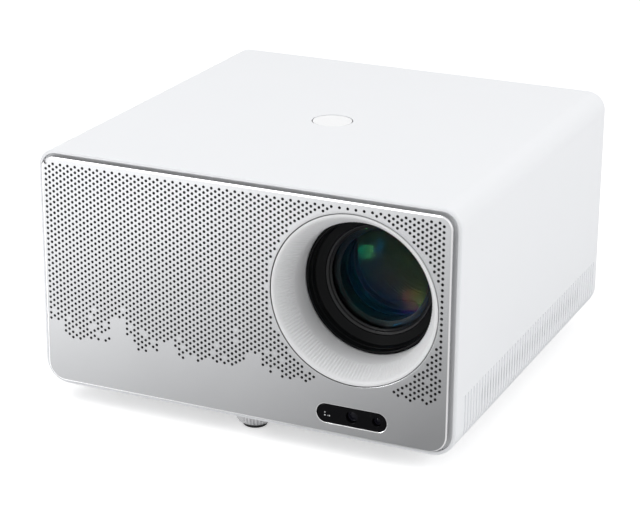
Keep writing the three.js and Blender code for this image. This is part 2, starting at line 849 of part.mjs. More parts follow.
function screws() {
  let count = 0;
  for (const x of [-baseScrewX, baseScrewX]) {
    for (const y of baseScrewYs) {
      count += 1;
      piece(`base_screw_${count}`, turnedZ(screwProfile(caseBottom, 1), x, y, smallFacets), darkSteel);
    }
  }
  count = 0;
  for (const x of [-rearScrewX, rearScrewX]) {
    for (const z of rearScrewZs) {
      count += 1;
      const headFace = rearOuterY + clearance + screwHeadHeight;
      piece(`rear_screw_${count}`, turnedY(screwProfile(headFace, -1), x, z, smallFacets), darkSteel);
    }
  }
}

screws();

// Front panel

// How far below the middle the perforation reaches at a place across the panel
function perforationDrop(x) {
  const width = caseWidth - 2 * panelInset;
  const share = (x + width / 2) / width;
  const step = raggedStepShares.findIndex((end) => share <= end);
  return caseHeight * (step % 2 === 0 ? shallowDropShare : deepDropShare);
}

// Staggered rows of holes that leave the rim, the lens opening and the lower band plain
function perforation() {
  const halfWidth = caseWidth / 2 - panelInset - holeEdgeMargin;
  const halfHeight = caseHeight / 2 - panelInset - holeEdgeMargin;
  const columns = Math.floor(halfWidth / holeColumnPitch);
  const holes = [];
  for (let column = -columns; column <= columns; column += 1) {
    const x = column * holeColumnPitch;
    const stagger = column % 2 === 0 ? 0 : holeRowPitch / 2;
    for (let z = halfHeight - stagger; z >= -perforationDrop(x); z -= holeRowPitch) {
      const fromLens = Math.hypot(x - lensX, middleZ + z - lensZ);
      if (fromLens < lensOpeningRadius + holeRingMargin) continue;
      const [cx, cz, half] = [x, middleZ + z, holeSide / Math.SQRT2];
      const hole = new THREE.Shape();
      hole.moveTo(cx, cz - half);
      hole.lineTo(cx + half, cz);
      hole.lineTo(cx, cz + half);
      hole.lineTo(cx - half, cz);
      holes.push(hole);
    }
  }
  return holes;
}

function frontPanel() {
  const rim = alongY(caseOutline(panelInset), frontY, panelBackY + panelChamfer, panelChamfer);
  return rim
    .intersect(alongY(caseOutline(0), frontY - overrun, panelBackY))
    .subtract(alongY(perforation(), frontY - overrun, panelBackY + overrun))
    .subtract(rodY(lensOpeningRadius, lensX, lensZ, frontY - overrun, panelBackY + overrun, largeFacets))
    .subtract(alongY(windowOutline(-clearance), frontY - overrun, panelBackY + overrun));
}

piece('front_panel', frontPanel(), silver);

// Front frame

function frontFrame() {
  const pocketInset = panelInset + frameInset + frameWall;
  const standoffs = [-1, 1].map((side) => rodY(sensorStandoffRadius,
    lensX + side * (sensorBoardWidth / 2 - sensorStandoffRadius), windowZ,
    framePlateBackY - overrun, sensorBoardFrontY - clearance));
  const speakerHoles = speakerXs.map((x) => rodY(speakerConeRadius, x, speakerZ,
    frameFrontY - overrun, framePlateBackY + overrun, mediumFacets));
  return alongY(caseOutline(panelInset + frameInset), frameFrontY, frameBackY)
    .add(alongY(caseOutline(lipWall + clearance), frameBackY - flangeThickness, frameBackY))
    .subtract(alongY(caseOutline(pocketInset), framePlateBackY, frameBackY + overrun))
    .add(joined(standoffs))
    .subtract(rodY(lensOpeningRadius, lensX, lensZ, frameFrontY - overrun, frameBackY + overrun, largeFacets))
    .subtract(alongY(windowOutline(-clearance), frameFrontY - overrun, windowBackY + clearance))
    .subtract(alongY(windowOutline(windowRim), frameFrontY - overrun, framePlateBackY + overrun))
    .subtract(joined(speakerHoles));
}

piece('front_frame', frontFrame(), blackPlastic);

// Lens hood

function lensHood() {
  const outer = lensOpeningRadius - hoodGap;
  const flangeFront = framePlateBackY + clearance;
  const coneY = frontY + hoodConeDepth;
  const endY = frontY + hoodDepth;
  const crest = (hoodLipRadius + outer) / 2;
  return turnedY([
    [hoodLipRadius, frontY + hoodLipDepth],
    [crest, frontY],
    [outer, frontY + hoodLipDepth],
    [outer, flangeFront],
    [outer + hoodFlangeWidth, flangeFront],
    [outer + hoodFlangeWidth, flangeFront + hoodFlangeThickness],
    [hoodLipRadius, flangeFront + hoodFlangeThickness],
    [hoodConeRadius + hoodWall, coneY + hoodWall],
    [hoodThroatRadius + hoodWall, endY],
    [hoodThroatRadius, endY],
    [hoodConeRadius, coneY],
    [hoodLipRadius, frontY + hoodLipDepth],
  ], lensX, lensZ, largeFacets);
}

piece('lens_hood', lensHood(), whitePaint);

// Sensor window and the sensors behind it

function sensors() {
  const boardBackY = sensorBoardFrontY + sensorBoardThickness;
  piece('sensor_window', alongY(windowOutline(0), windowFrontY, windowBackY), blackPlastic);
  piece('sensor_board', box(lensX - sensorBoardWidth / 2, lensX + sensorBoardWidth / 2,
    sensorBoardFrontY, boardBackY, windowZ - sensorBoardHeight / 2, windowZ + sensorBoardHeight / 2),
  circuitGreen);
  const seatY = sensorBoardFrontY - clearance;
  piece('camera_lens', rodY(cameraRadius, lensX, windowZ, seatY - cameraLength, seatY), blackPlastic);
  const distanceX = lensX + distanceOffset;
  const distanceSensor = rodY(distanceRadius, distanceX, windowZ, seatY - distanceLength, seatY);
  piece('distance_sensor', distanceSensor, blackPlastic);
}

sensors();

// Power button

function powerButton() {
  const top = caseTop - buttonRecess;
  const flangeBottom = buttonFlangeTop - buttonFlangeThickness;
  const stemBottom = switchTop + buttonTravel + clearance;
  const chamfer = clearance;
  return turnedZ([
    [0, top],
    [buttonRadius - chamfer, top],
    [buttonRadius, top - chamfer],
    [buttonRadius, buttonFlangeTop],
    [buttonFlangeRadius, buttonFlangeTop],
    [buttonFlangeRadius, flangeBottom],
    [buttonStemRadius, flangeBottom],
    [buttonStemRadius, stemBottom],
    [0, stemBottom],
  ], 0, buttonY, mediumFacets);
}

function buttonHolder() {
  const inner = buttonFlangeRadius + clearance;
  const bottom = holderFloorTop - holderWall;
  return turnedZ([
    [0, holderFloorTop],
    [inner, holderFloorTop],
    [inner, buttonFlangeTop],
    [holderFlangeRadius, buttonFlangeTop],
    [holderFlangeRadius, buttonFlangeTop - holderWall],
    [inner + holderWall, buttonFlangeTop - holderWall],
    [inner + holderWall, bottom],
    [0, bottom],
  ], 0, buttonY, mediumFacets);
}

piece('power_button', powerButton(), whitePaint);
piece('button_holder', buttonHolder(), blackPlastic);
piece('button_switch', box(-switchWidth / 2, switchWidth / 2,
  buttonY - switchWidth / 2, buttonY + switchWidth / 2,
  holderFloorTop + clearance, switchTop), blackPlastic);

// Feet and tripod insert

function footWheel() {
  const flutes = Array.from({ length: footFluteCount }, (_, i) => {
    const angle = 2 * Math.PI * i / footFluteCount;
    const reach = footWheelRadius - footFluteDepth + footFluteDepth * 2;
    return rodZ(footFluteDepth * 2, reach * Math.cos(angle), footY + reach * Math.sin(angle),
      wheelBottom - overrun, wheelTop + overrun, smallFacets / 2);
  });
  const chamfer = footFluteDepth;
  const body = turnedZ([
    [0, wheelBottom],
    [footWheelRadius - footWheelTaper, wheelBottom],
    [footWheelRadius, wheelBottom + footWheelTaperHeight],
    [footWheelRadius, wheelTop - chamfer],
    [footWheelRadius - chamfer, wheelTop],
    [footStemRadius, wheelTop],
    [footStemRadius, wheelTop + footStemLength],
    [0, wheelTop + footStemLength],
  ], 0, footY, mediumFacets);
  const pinHole = rodZ(footPinRadius + clearance, 0, footY,
    wheelBottom - overrun, footPadThickness + footPinHeight + clearance);
  return body.subtract(joined(flutes)).subtract(pinHole);
}

function footPad() {
  const chamfer = footPadThickness / 3;
  return turnedZ([
    [0, 0],
    [footPadRadius - chamfer, 0],
    [footPadRadius, chamfer],
    [footPadRadius, footPadThickness],
    [footPinRadius, footPadThickness],
    [footPinRadius, footPadThickness + footPinHeight],
    [0, footPadThickness + footPinHeight],
  ], 0, footY, mediumFacets);
}

function footBush() {
  const bore = footStemRadius + clearance;
  const seat = bushBossTop + clearance;
  return turnedZ([
    [bore, caseBottom],
    [bushRadius, caseBottom],
    [bushRadius, seat],
    [bushRadius + bushFlangeWidth, seat],
    [bushRadius + bushFlangeWidth, seat + bushFlangeThickness],
    [bore, seat + bushFlangeThickness],
    [bore, caseBottom],
  ], 0, footY, mediumFacets);
}

function tripodInsert() {
  const top = caseBottom + tripodHeight;
  return turnedZ([
    [tripodBoreRadius, caseBottom],
    [tripodRadius, caseBottom],
    [tripodRadius, top],
    [tripodBoreRadius, top],
    [tripodBoreRadius, caseBottom],
  ], 0, 0, mediumFacets);
}

function rearFoot(x) {
  const chamfer = clearance * 2;
  return turnedZ([
    [0, 0],
    [rearFootRadius - chamfer, 0],
    [rearFootRadius, chamfer],
    [rearFootRadius, rearFootHeight],
    [0, rearFootHeight],
  ], x, rearFootY, mediumFacets);
}

piece('foot_wheel', footWheel(), silver);
piece('foot_pad', footPad(), rubber);
piece('foot_bush', footBush(), brass);
piece('tripod_insert', tripodInsert(), brass);
piece('rear_foot_left', rearFoot(-rearFootX), rubber);
piece('rear_foot_right', rearFoot(rearFootX), rubber);

// Lens barrel with its glass

function lensBarrel() {
  const seatY = barrelFrontY + barrelSeatDepth;
  return turnedY([
    [barrelRadius - barrelRim, barrelFrontY],
    [barrelRadius, barrelFrontY],
    [barrelRadius, barrelShoulderY],
    [barrelTubeRadius, barrelShoulderY],
    [barrelTubeRadius, barrelBackY],
    [rearSeatRadius, barrelBackY],
    [rearSeatRadius, barrelBackY - rearSeatDepth],
    [barrelBoreRadius, barrelBackY - rearSeatDepth],
    [barrelBoreRadius, seatY],
    [barrelSeatRadius, seatY],
    [barrelSeatRadius, barrelFrontY + barrelBandDepth],
    [barrelStepRadius, barrelFrontY + barrelStepDepth],
    [barrelRadius - barrelRim, barrelFrontY],
  ], lensX, lensZ, largeFacets);
}

// Points of a dome from its rim to its tip, bulging towards a side of the rim's place
function dome(rimRadius, curveRadius, rimY, side) {
  const rimHeight = Math.sqrt(curveRadius * curveRadius - rimRadius * rimRadius);
  return Array.from({ length: glassSteps }, (_, i) => {
    const radius = rimRadius * (1 - (i + 1) / glassSteps);
    return [radius, rimY + side * (Math.sqrt(curveRadius * curveRadius - radius * radius) - rimHeight)];
  });
}

function lensGroup() {
  const ringOuter = barrelSeatRadius - clearance;
  piece('retaining_ring', turnedY([
    [ringOuter, ringFrontY],
    [ringOuter, ringBackY],
    [ringInnerRadius, ringBackY],
    [ringInnerRadius, ringFrontY + ringChamferDepth],
    [ringOuter, ringFrontY],
  ], lensX, lensZ, largeFacets), blackPlastic);
  const rimY = ringBackY + clearance;
  const flatRadius = ringOuter - glassFlat;
  piece('front_lens', turnedY([
    [0, rimY + glassEdge],
    [ringOuter, rimY + glassEdge],
    [ringOuter, rimY],
    [flatRadius, rimY],
    ...dome(flatRadius, glassCurveRadius, rimY, -1),
  ], lensX, lensZ, mediumFacets), glass);
  const rearRadius = rearSeatRadius - clearance;
  const seatY = barrelBackY - rearSeatDepth + clearance;
  piece('rear_lens', turnedY([
    [0, seatY],
    [rearRadius, seatY],
    [rearRadius, seatY + rearGlassEdge],
    ...dome(rearRadius, rearGlassCurveRadius, seatY + rearGlassEdge, 1),
  ], lensX, lensZ, mediumFacets), glass);
}

function lensMount() {
  const bore = barrelTubeRadius + clearance;
  const endY = mountFrontY + mountLength;
  return turnedY([
    [bore, mountFrontY],
    [bore + mountWall, mountFrontY],
    [bore + mountWall, endY - mountFlangeThickness],
    [mountFlangeRadius, endY - mountFlangeThickness],
    [mountFlangeRadius, endY],
    [bore, endY],
    [bore, mountFrontY],
  ], lensX, lensZ, largeFacets);
}

piece('lens_barrel', lensBarrel(), blackPlastic);
lensGroup();
piece('lens_mount', lensMount(), darkSteel);

// Optical engine: a light tunnel with three cards in slots

function cardYs(thickness, share) {
  const fromY = engineFrontY + share * engineLength;
  return [fromY, fromY + thickness];
}

const cards = [
  { name: 'front_fresnel', thickness: fresnelThickness, share: cardShares[0], look: glass },
  { name: 'lcd_panel', thickness: lcdThickness, share: cardShares[1], look: blackPlastic },
  { name: 'rear_fresnel', thickness: fresnelThickness, share: cardShares[2], look: glass },
];
const cardHalfWidth = engineWidth / 2 - engineWall + cardSlotDepth;
const cardBottom = engineBottom + engineWall - cardSlotDepth;
const engineTop = engineBottom + engineHeight;

function opticalEngine() {
  const [halfWidth, halfFront] = [engineWidth / 2, engineFrontWidth / 2];
  const frontHalfHeight = engineFrontHeight / 2;
  const shell = box(lensX - halfWidth, lensX + halfWidth, engineFrontY, engineBackY, engineBottom, engineTop)
    .add(box(lensX - halfFront, lensX + halfFront, engineFrontY, engineFrontY + enginePlate,
      lensZ - frontHalfHeight, lensZ + frontHalfHeight));
  const tunnel = box(lensX - halfWidth + engineWall, lensX + halfWidth - engineWall,
    engineFrontY + enginePlate, engineBackY + overrun, engineBottom + engineWall, engineTop - engineWall);
  const bore = rodY(barrelTubeRadius + clearance, lensX, lensZ,
    engineFrontY - overrun, engineFrontY + enginePlate + overrun, largeFacets);
  const slots = cards.map((card) => {
    const [fromY, toY] = cardYs(card.thickness, card.share);
    return box(lensX - cardHalfWidth - clearance, lensX + cardHalfWidth + clearance,
      fromY - clearance, toY + clearance, cardBottom - clearance, engineTop + overrun);
  });
  return shell.subtract(tunnel).subtract(bore).subtract(joined(slots));
}

function opticalCards() {
  for (const card of cards) {
    const [fromY, toY] = cardYs(card.thickness, card.share);
    let solid = box(lensX - cardHalfWidth, lensX + cardHalfWidth, fromY, toY, cardBottom, engineTop);
    if (card.name === 'lcd_panel') {
      solid = solid.subtract(box(lensX - lcdWindowWidth / 2, lensX + lcdWindowWidth / 2,
        fromY - overrun, fromY + lcdWindowDepth, lensZ - lcdWindowHeight / 2, lensZ + lcdWindowHeight / 2));
    }
    piece(card.name, solid, card.look);
  }
}

piece('optical_engine', opticalEngine(), blackPlastic);
opticalCards();

// Light source and heat sink

function ledModule() {
  const plateY = engineBackY + clearance;
  const [halfWidth, halfHeight, halfChip] = [engineWidth / 2, engineHeight / 2, ledChipSize / 2];
  return box(lensX - halfWidth, lensX + halfWidth, plateY, plateY + ledPlate,
    lensZ - halfHeight, lensZ + halfHeight)
    .add(box(lensX - halfChip, lensX + halfChip, plateY - ledChipThickness, plateY + ledPlate / 2,
      lensZ - halfChip, lensZ + halfChip));
}

function heatSink() {
  const left = lensX - sinkWidth / 2;
  const pitch = (sinkWidth - finThickness) / (finCount - 1);
  const endY = sinkFrontY + sinkBase + finLength;
  const comb = new THREE.Shape();
  comb.moveTo(left, sinkFrontY);
  comb.lineTo(left + sinkWidth, sinkFrontY);
  for (let fin = finCount - 1; fin >= 0; fin -= 1) {
    const x = left + fin * pitch;
    if (fin < finCount - 1) comb.lineTo(x + finThickness, sinkFrontY + sinkBase);
    comb.lineTo(x + finThickness, endY);
    comb.lineTo(x, endY);
    if (fin > 0) comb.lineTo(x, sinkFrontY + sinkBase);
  }
  return alongZ(comb, lensZ - sinkHeight / 2, lensZ + sinkHeight / 2);
}

piece('led_module', ledModule(), silver);
piece('heat_sink', heatSink(), silver);

// Focus drive

function focusMotor() {
  const endY = engineFrontY - clearance;
  const railX = focusX - focusMotorRadius;
  const earFrontY = focusScrewFrontY - focusRail;
  const body = rodY(focusMotorRadius, focusX, focusZ, focusMotorFrontY, endY, mediumFacets);
  const rail = box(railX - focusRail, railX, earFrontY, endY,
    focusZ - focusMotorRadius / 2, focusZ + focusMotorRadius / 2);
  const foot = box(railX - focusRail, focusX, endY - focusRail, endY,
    focusZ - focusMotorRadius / 2, focusZ + focusMotorRadius / 2);
  const ear = box(railX - focusRail, focusX + focusMotorRadius / 2, earFrontY, focusScrewFrontY,
    focusZ - focusMotorRadius / 2, focusZ + focusMotorRadius / 2);
  const bore = rodY(focusScrewRadius + clearance, focusX, focusZ,
    earFrontY - overrun, focusMotorFrontY + focusScrewSunk + clearance);
  return joined([body, rail, foot, ear]).subtract(bore);
}

function focusScrew() {
  const endY = focusMotorFrontY + focusScrewSunk;
  return rodY(focusScrewRadius, focusX, focusZ, focusScrewFrontY - focusRail, endY);
}

// A block that reaches from the barrel's side to the screw, square to the barrel
function focusNut() {
  const reach = Math.hypot(focusOffsetX, focusOffsetZ);
  const angle = Math.atan2(focusOffsetZ, focusOffsetX);
  const inner = barrelRadius + clearance;
  const geometry = new THREE.BoxGeometry(reach + focusNutReach - inner, focusNutLength, focusNutWidth);
  geometry.translate((reach + focusNutReach + inner) / 2, 0, 0);
  geometry.rotateY(-angle);
  geometry.translate(lensX, focusNutY, lensZ);
  return solidOf(geometry).subtract(rodY(focusScrewRadius + clearance, focusX, focusZ,
    focusNutY - focusNutLength, focusNutY + focusNutLength));
}

piece('focus_motor', focusMotor(), darkSteel);
piece('focus_screw', focusScrew(), brass);
piece('focus_nut', focusNut(), blackPlastic);

// Fans, made about their own axis and then set in place

function fanSizes(size, fanDepth) {
  const bore = size / 2 - fanWall;
  return { size, fanDepth, bore, tip: bore - fanTipGap, hub: bore * fanHubShare };
}

// The frame's air runs along z from 0 to its depth, with the motor's plate and struts at the far end
function fanFrame({ size, fanDepth, bore, hub }) {
  const struts = [0, 1, 2].map((i) => {
    const strut = new THREE.BoxGeometry(bore + fanWall / 2, fanStrutWidth, fanStrutThickness);
    strut.translate((bore + fanWall / 2) / 2, 0, fanDepth - fanStrutThickness / 2);
    return solidOf(strut.rotateZ(2 * Math.PI * i / 3 + Math.PI / 2));
  });
  return alongZ(rectangle(-size / 2, size / 2, -size / 2, size / 2), 0, fanDepth)
    .subtract(rodZ(bore, 0, 0, -overrun, fanDepth + overrun, mediumFacets))
    .add(rodZ(hub, 0, 0, fanDepth - fanStrutThickness, fanDepth, mediumFacets))
    .add(joined(struts))
    .subtract(rodZ(fanShaftRadius + clearance, 0, 0, fanDepth / 2, fanDepth + overrun));
}

// A flat blade, pitched and rooted in the hub
function fanBlade(angle, { fanDepth, tip, hub }) {
  const rotorDepth = fanDepth - fanStrutThickness - 2 * clearance;
  const [rise, run] = [Math.cos(fanBladePitch), Math.sin(fanBladePitch)];
  const halfChord = fanBladeChordShare * rotorDepth / 2 / rise;
  const along = new THREE.Vector3(0, run, rise).multiplyScalar(halfChord);
  const across = new THREE.Vector3(0, rise, -run).multiplyScalar(fanBladeThickness / 2);
  const spread = halfChord * run;
  const rings = [hub - fanBladeRoot, tip].map((radius) => {
    const reach = Math.sqrt(radius * radius - spread * spread);
    const centre = new THREE.Vector3(reach, 0, clearance + rotorDepth / 2);
    const corners = [
      centre.clone().add(along).add(across),
      centre.clone().sub(along).add(across),
      centre.clone().sub(along).sub(across),
      centre.clone().add(along).sub(across),
    ];
    return corners.map((corner) => corner.applyAxisAngle(new THREE.Vector3(0, 0, 1), angle));
  });
  return loft(rings);
}

function fanRotor(fan) {
  const backZ = (1 - fanHubSetbackShare) * fan.fanDepth - clearance;
  const hubBack = Math.min(backZ, fan.fanDepth - fanStrutThickness - clearance);
  const step = 2 * Math.PI / fanBladeCount;
  const blades = Array.from({ length: fanBladeCount }, (_, i) => fanBlade(i * step, fan));
  return joined([
    rodZ(fan.hub, 0, 0, clearance, hubBack, mediumFacets),
    rodZ(fanShaftRadius, 0, 0, clearance, fan.fanDepth),
    ...blades,
  ]);
}

// Air leaves through the rear cover, so the exhaust fan's axis runs back; the intake fan blows up
function fans() {
  const exhaust = fanSizes(exhaustFanSize, exhaustFanDepth);
  const intake = fanSizes(intakeFanSize, intakeFanDepth);
  const toRear = (solid) => solid.rotate([-90, 0, 0]).translate([lensX, exhaustFanFrontY, lensZ]);
  const toBase = (solid) => solid.rotate([180, 0, 0])
    .translate([lensX, intakeFanY, basePlateTop + clearance + intakeFanDepth]);
  piece('exhaust_fan_frame', toRear(fanFrame(exhaust)), blackPlastic);
  piece('exhaust_fan_rotor', toRear(fanRotor(exhaust)), blackPlastic);
  piece('intake_fan_frame', toBase(fanFrame(intake)), blackPlastic);
  piece('intake_fan_rotor', toBase(fanRotor(intake)), blackPlastic);
}

fans();

// Boards

// A block on a board, its sides given as shares of the board's width and length
function onBoard(board, shares, height) {
  const [fromX, toX, fromY, toY] = shares;
  const [width, length] = [board.right - board.left, board.back - board.front];
  return box(board.left + fromX * width, board.left + toX * width, board.front + fromY * length,
    board.front + toY * length, board.top - boardThickness / 2, board.top + height);
}

function boardPlate(board) {
  return box(board.left, board.right, board.front, board.back, board.top - boardThickness, board.top);
}

function mainBoard() {
  const board = {
    left: mainBoardLeft, right: mainBoardRight, front: mainBoardFront, back: mainBoardBack, top: mainBoardTop,
  };
  const coolerShares = [0.32, 0.62, 0.22, 0.52];
  const chipShares = [
    [0.1, 0.24, 0.3, 0.46],
    [0.7, 0.86, 0.2, 0.34],
    [0.7, 0.86, 0.44, 0.58],
    [0.36, 0.5, 0.6, 0.7],
  ];
  return joined([
    boardPlate(board),
    onBoard(board, coolerShares, coolerHeight),
    ...chipShares.map((shares) => onBoard(board, shares, chipHeight)),
  ]);
}

function powerSupply() {
  const board = {
    left: supplyLeft, right: supplyRight, front: supplyFront, back: supplyBack, top: supplyTop,
  };
  const transformerShares = [0.3, 0.72, 0.36, 0.58];
  const coolerShares = [0.08, 0.16, 0.3, 0.66];
  const capacitorShares = [[0.3, 0.8], [0.66, 0.8], [0.5, 0.18]];
  const capacitors = capacitorShares.map(([x, y]) => rodZ(capacitorRadius,
    supplyLeft + x * (supplyRight - supplyLeft), supplyFront + y * (supplyBack - supplyFront),
    supplyTop - boardThickness / 2, supplyTop + capacitorHeight));
  return joined([
    boardPlate(board),
    onBoard(board, transformerShares, transformerHeight),
    onBoard(board, coolerShares, transformerHeight),
    ...capacitors,
  ]);
}

piece('main_board', mainBoard(), circuitGreen);
piece('power_supply', powerSupply(), circuitGreen);

// Connectors

function portBody(port) {
  const fromY = rearOuterY - portLength;
  const body = box(port.x - port.halfWidth, port.x + port.halfWidth, fromY, rearOuterY,
    port.z - port.halfHeight, port.z + port.halfHeight);
  const cavity = port.name === 'audio_jack'
    ? rodY(jackBoreRadius, port.x, port.z, fromY + portBack, rearOuterY + overrun)
    : box(port.x - port.width / 2, port.x + port.width / 2, fromY + portBack, rearOuterY + overrun,
      port.z - port.height / 2, port.z + port.height / 2);
  return body.subtract(cavity);
}

function mainsInlet() {
  const fromY = rearOuterY - inletLength;
  const [halfWidth, halfHeight] = [inletWidth / 2 + inletShell, inletHeight / 2 + inletShell];
  const round = inletHeight / 2 - smallestRound;
  const cavity = alongY(roundedRectangle(inletX, inletZ, inletWidth, inletHeight, round),
    fromY + inletBack, rearOuterY + overrun);
  const pins = [-1, 1].map((side) => rodY(inletPinRadius, inletX + side * inletPinSpacing / 2, inletZ,
    fromY + inletBack / 2, rearOuterY - inletPinSetback, smallFacets));
  return box(inletX - halfWidth, inletX + halfWidth, fromY, rearOuterY,
    inletZ - halfHeight, inletZ + halfHeight)
    .subtract(cavity)
    .add(joined(pins));
}

ports.forEach((port) => piece(port.name, portBody(port), port.name === 'audio_jack' ? blackPlastic : silver));
piece('mains_inlet', mainsInlet(), blackPlastic);

// Speakers

function speaker(x) {
  const endY = speakerFrontY + speakerDepth;
  const [halfWidth, halfHeight] = [speakerWidth / 2, speakerHeight / 2];
  const front = rectangle(x - halfWidth, x + halfWidth, speakerZ - halfHeight, speakerZ + halfHeight);
  const cabinet = alongY(front, speakerFrontY, endY);
  const cone = turnedY([
    [0, speakerFrontY - overrun],
    [speakerConeRadius - clearance, speakerFrontY - overrun],
    [speakerConeRadius - clearance, speakerFrontY + clearance],
    [speakerDomeRadius, speakerFrontY + speakerConeDepth],
    [speakerDomeRadius / 2, speakerFrontY + speakerConeDepth - speakerDomeShoulderHeight],
    [0, speakerFrontY + speakerConeDepth - speakerDomeHeight],
  ], x, speakerZ, mediumFacets);
  return cabinet.subtract(cone);
}

piece('speaker_left', speaker(speakerXs[0]), blackPlastic);
piece('speaker_right', speaker(speakerXs[1]), blackPlastic);

export default projector;
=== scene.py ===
import math

import bmesh
import bpy
from mathutils import Matrix, Vector


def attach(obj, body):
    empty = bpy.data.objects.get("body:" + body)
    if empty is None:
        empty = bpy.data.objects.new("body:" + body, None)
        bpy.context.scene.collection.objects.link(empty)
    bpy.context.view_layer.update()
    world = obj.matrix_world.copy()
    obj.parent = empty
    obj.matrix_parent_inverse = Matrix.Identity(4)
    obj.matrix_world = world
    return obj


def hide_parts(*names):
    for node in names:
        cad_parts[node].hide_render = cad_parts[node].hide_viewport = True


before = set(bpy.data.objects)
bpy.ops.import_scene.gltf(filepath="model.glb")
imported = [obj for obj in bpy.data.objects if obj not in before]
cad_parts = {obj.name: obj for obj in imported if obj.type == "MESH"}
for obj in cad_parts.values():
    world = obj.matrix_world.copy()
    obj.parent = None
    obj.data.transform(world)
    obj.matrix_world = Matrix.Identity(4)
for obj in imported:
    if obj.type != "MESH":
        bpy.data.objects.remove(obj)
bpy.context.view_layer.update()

# Camera
# It stands a little above the projector, in front and to its right, with a long lens, as in the
# photograph. Its place was fitted to the case's edges, its corners and the lens opening.

camera_lens_length, camera_sensor_width, camera_clip_start = 118.376, 36, 0.01
camera_place = (0.4491, -1.0154, 0.4688)
camera_azimuth, camera_elevation, camera_roll = 24.2323, 20.0456, 0.4545

camera = bpy.data.objects.new("camera", bpy.data.cameras.new("camera"))
camera.data.lens = camera_lens_length
camera.data.sensor_width = camera_sensor_width
camera.data.clip_start = camera_clip_start
camera.matrix_world = (
    Matrix.Translation(camera_place)
    @ Matrix.Rotation(math.radians(camera_azimuth), 4, "Z")
    @ Matrix.Rotation(math.radians(90 - camera_elevation), 4, "X")
    @ Matrix.Rotation(math.radians(camera_roll), 4, "Z")
)
bpy.context.collection.objects.link(camera)
bpy.context.scene.camera = camera
bpy.context.scene.view_settings.view_transform = "Standard"

# Studio
# A white sweep under soft light: one wide lamp over the left, a low one before the front panel that
# only gloss shows, and a smaller one at the right. The floor keeps the shadow, and the room shows
# white. What metal and glass mirror of the floor is brighter on the left than on the right.

floor_size = 6.0
floor_white = (0.8, 0.8, 0.8, 1)
floor_glow = 0.5
mirrored_left, mirrored_right = {"across": -0.317, "glow": 2.1}, {"across": 0.051, "glow": 0.03}
across_floor = (0.975, 0.22, 0)
room_fill = 0.58
lamp_plans = {
    "top_lamp": {"place": (-0.9, -0.7, 1.6), "size": (1.2, 1.0), "power": 12, "gloss_only": False},
    "front_lamp": {"place": (-0.6, -1.08, 0.15), "size": (0.34, 0.24), "power": 5.4, "gloss_only": True},
    "side_lamp": {"place": (1.5, 0.1, 0.9), "size": (0.9, 0.9), "power": 8.8, "gloss_only": False},
}
lamp_target = Vector((0, 0, 0.07))


def node_tree(owner):
    owner.use_nodes = True
    owner.node_tree.nodes.clear()
    return owner.node_tree


def feed(tree, node, inputs):
    """Gives inputs their values, or links them to an output or to another node's first output"""
    for label, given in inputs.items():
        if isinstance(given, bpy.types.Node):
            given = given.outputs[0]
        if isinstance(given, bpy.types.NodeSocket):
            tree.links.new(given, node.inputs[label])
        else:
            node.inputs[label].default_value = given
    return node


def add_node(tree, kind, inputs, **settings):
    node = tree.nodes.new("ShaderNode" + kind)
    for label, value in settings.items():
        setattr(node, label, value)
    return feed(tree, node, inputs)


def object_place(tree):
    return add_node(tree, "TexCoord", {}).outputs["Object"]


def seen_directly(tree):
    """1 where a ray comes from the camera, a mirror or a glass, and 0 elsewhere"""
    path = add_node(tree, "LightPath", {}).outputs
    first = add_node(tree, "Math", {0: path["Is Camera Ray"], 1: path["Is Glossy Ray"]}, operation="MAXIMUM")
    return add_node(tree, "Math", {0: first, 1: path["Is Transmission Ray"]}, operation="MAXIMUM")


world = bpy.data.worlds.new("studio_room")
bpy.context.scene.world = world
tree = node_tree(world)
strength = add_node(tree, "MapRange", {"Value": seen_directly(tree), "To Min": room_fill, "To Max": 1.0})
room = add_node(tree, "Background", {"Color": (1, 1, 1, 1), "Strength": strength})
add_node(tree, "OutputWorld", {"Surface": room})

floor_mesh = bmesh.new()
bmesh.ops.create_grid(floor_mesh, x_segments=1, y_segments=1, size=floor_size / 2)
floor = bpy.data.objects.new("studio_floor", bpy.data.meshes.new("studio_floor"))
floor_mesh.to_mesh(floor.data)
floor_mesh.free()
bpy.context.collection.objects.link(floor)
floor_paper = bpy.data.materials.new("floor_paper")
tree = node_tree(floor_paper)
matt = add_node(tree, "BsdfDiffuse", {"Color": floor_white})
plain = add_node(tree, "Math", {0: seen_directly(tree), 1: floor_glow}, operation="MULTIPLY")
across = add_node(tree, "VectorMath", {0: object_place(tree), 1: across_floor}, operation="DOT_PRODUCT")
mirrored = add_node(tree, "MapRange", {
    "Value": across.outputs["Value"],
    "From Min": mirrored_left["across"], "From Max": mirrored_right["across"],
    "To Min": mirrored_left["glow"], "To Max": mirrored_right["glow"],
})
path = add_node(tree, "LightPath", {}).outputs
chosen = add_node(tree, "Mix", {"Factor": path["Is Glossy Ray"], "A": plain, "B": mirrored})
glow = add_node(tree, "Emission", {"Strength": chosen})
add_node(tree, "OutputMaterial", {"Surface": add_node(tree, "AddShader", {0: matt, 1: glow})})
floor.data.materials.append(floor_paper)

for name, plan in lamp_plans.items():
    lamp = bpy.data.objects.new(name, bpy.data.lights.new(name, "AREA"))
    lamp.data.shape = "RECTANGLE"
    lamp.data.size, lamp.data.size_y = plan["size"]
    lamp.data.energy = plan["power"]
    lamp.visible_diffuse = not plan["gloss_only"]
    lamp.visible_camera = False
    lamp.location = plan["place"]
    lamp.rotation_euler = (lamp_target - lamp.location).to_track_quat("-Z", "Y").to_euler()
    bpy.context.collection.objects.link(lamp)

# Shell
# One white sleeve of moulded ABS, painted satin, open at the front and back and cut out below
# for the base cover. Each side has 52 fine upright grooves along its foot, which follow the
# bottom corner, and 39 of them are cut through as air slots.

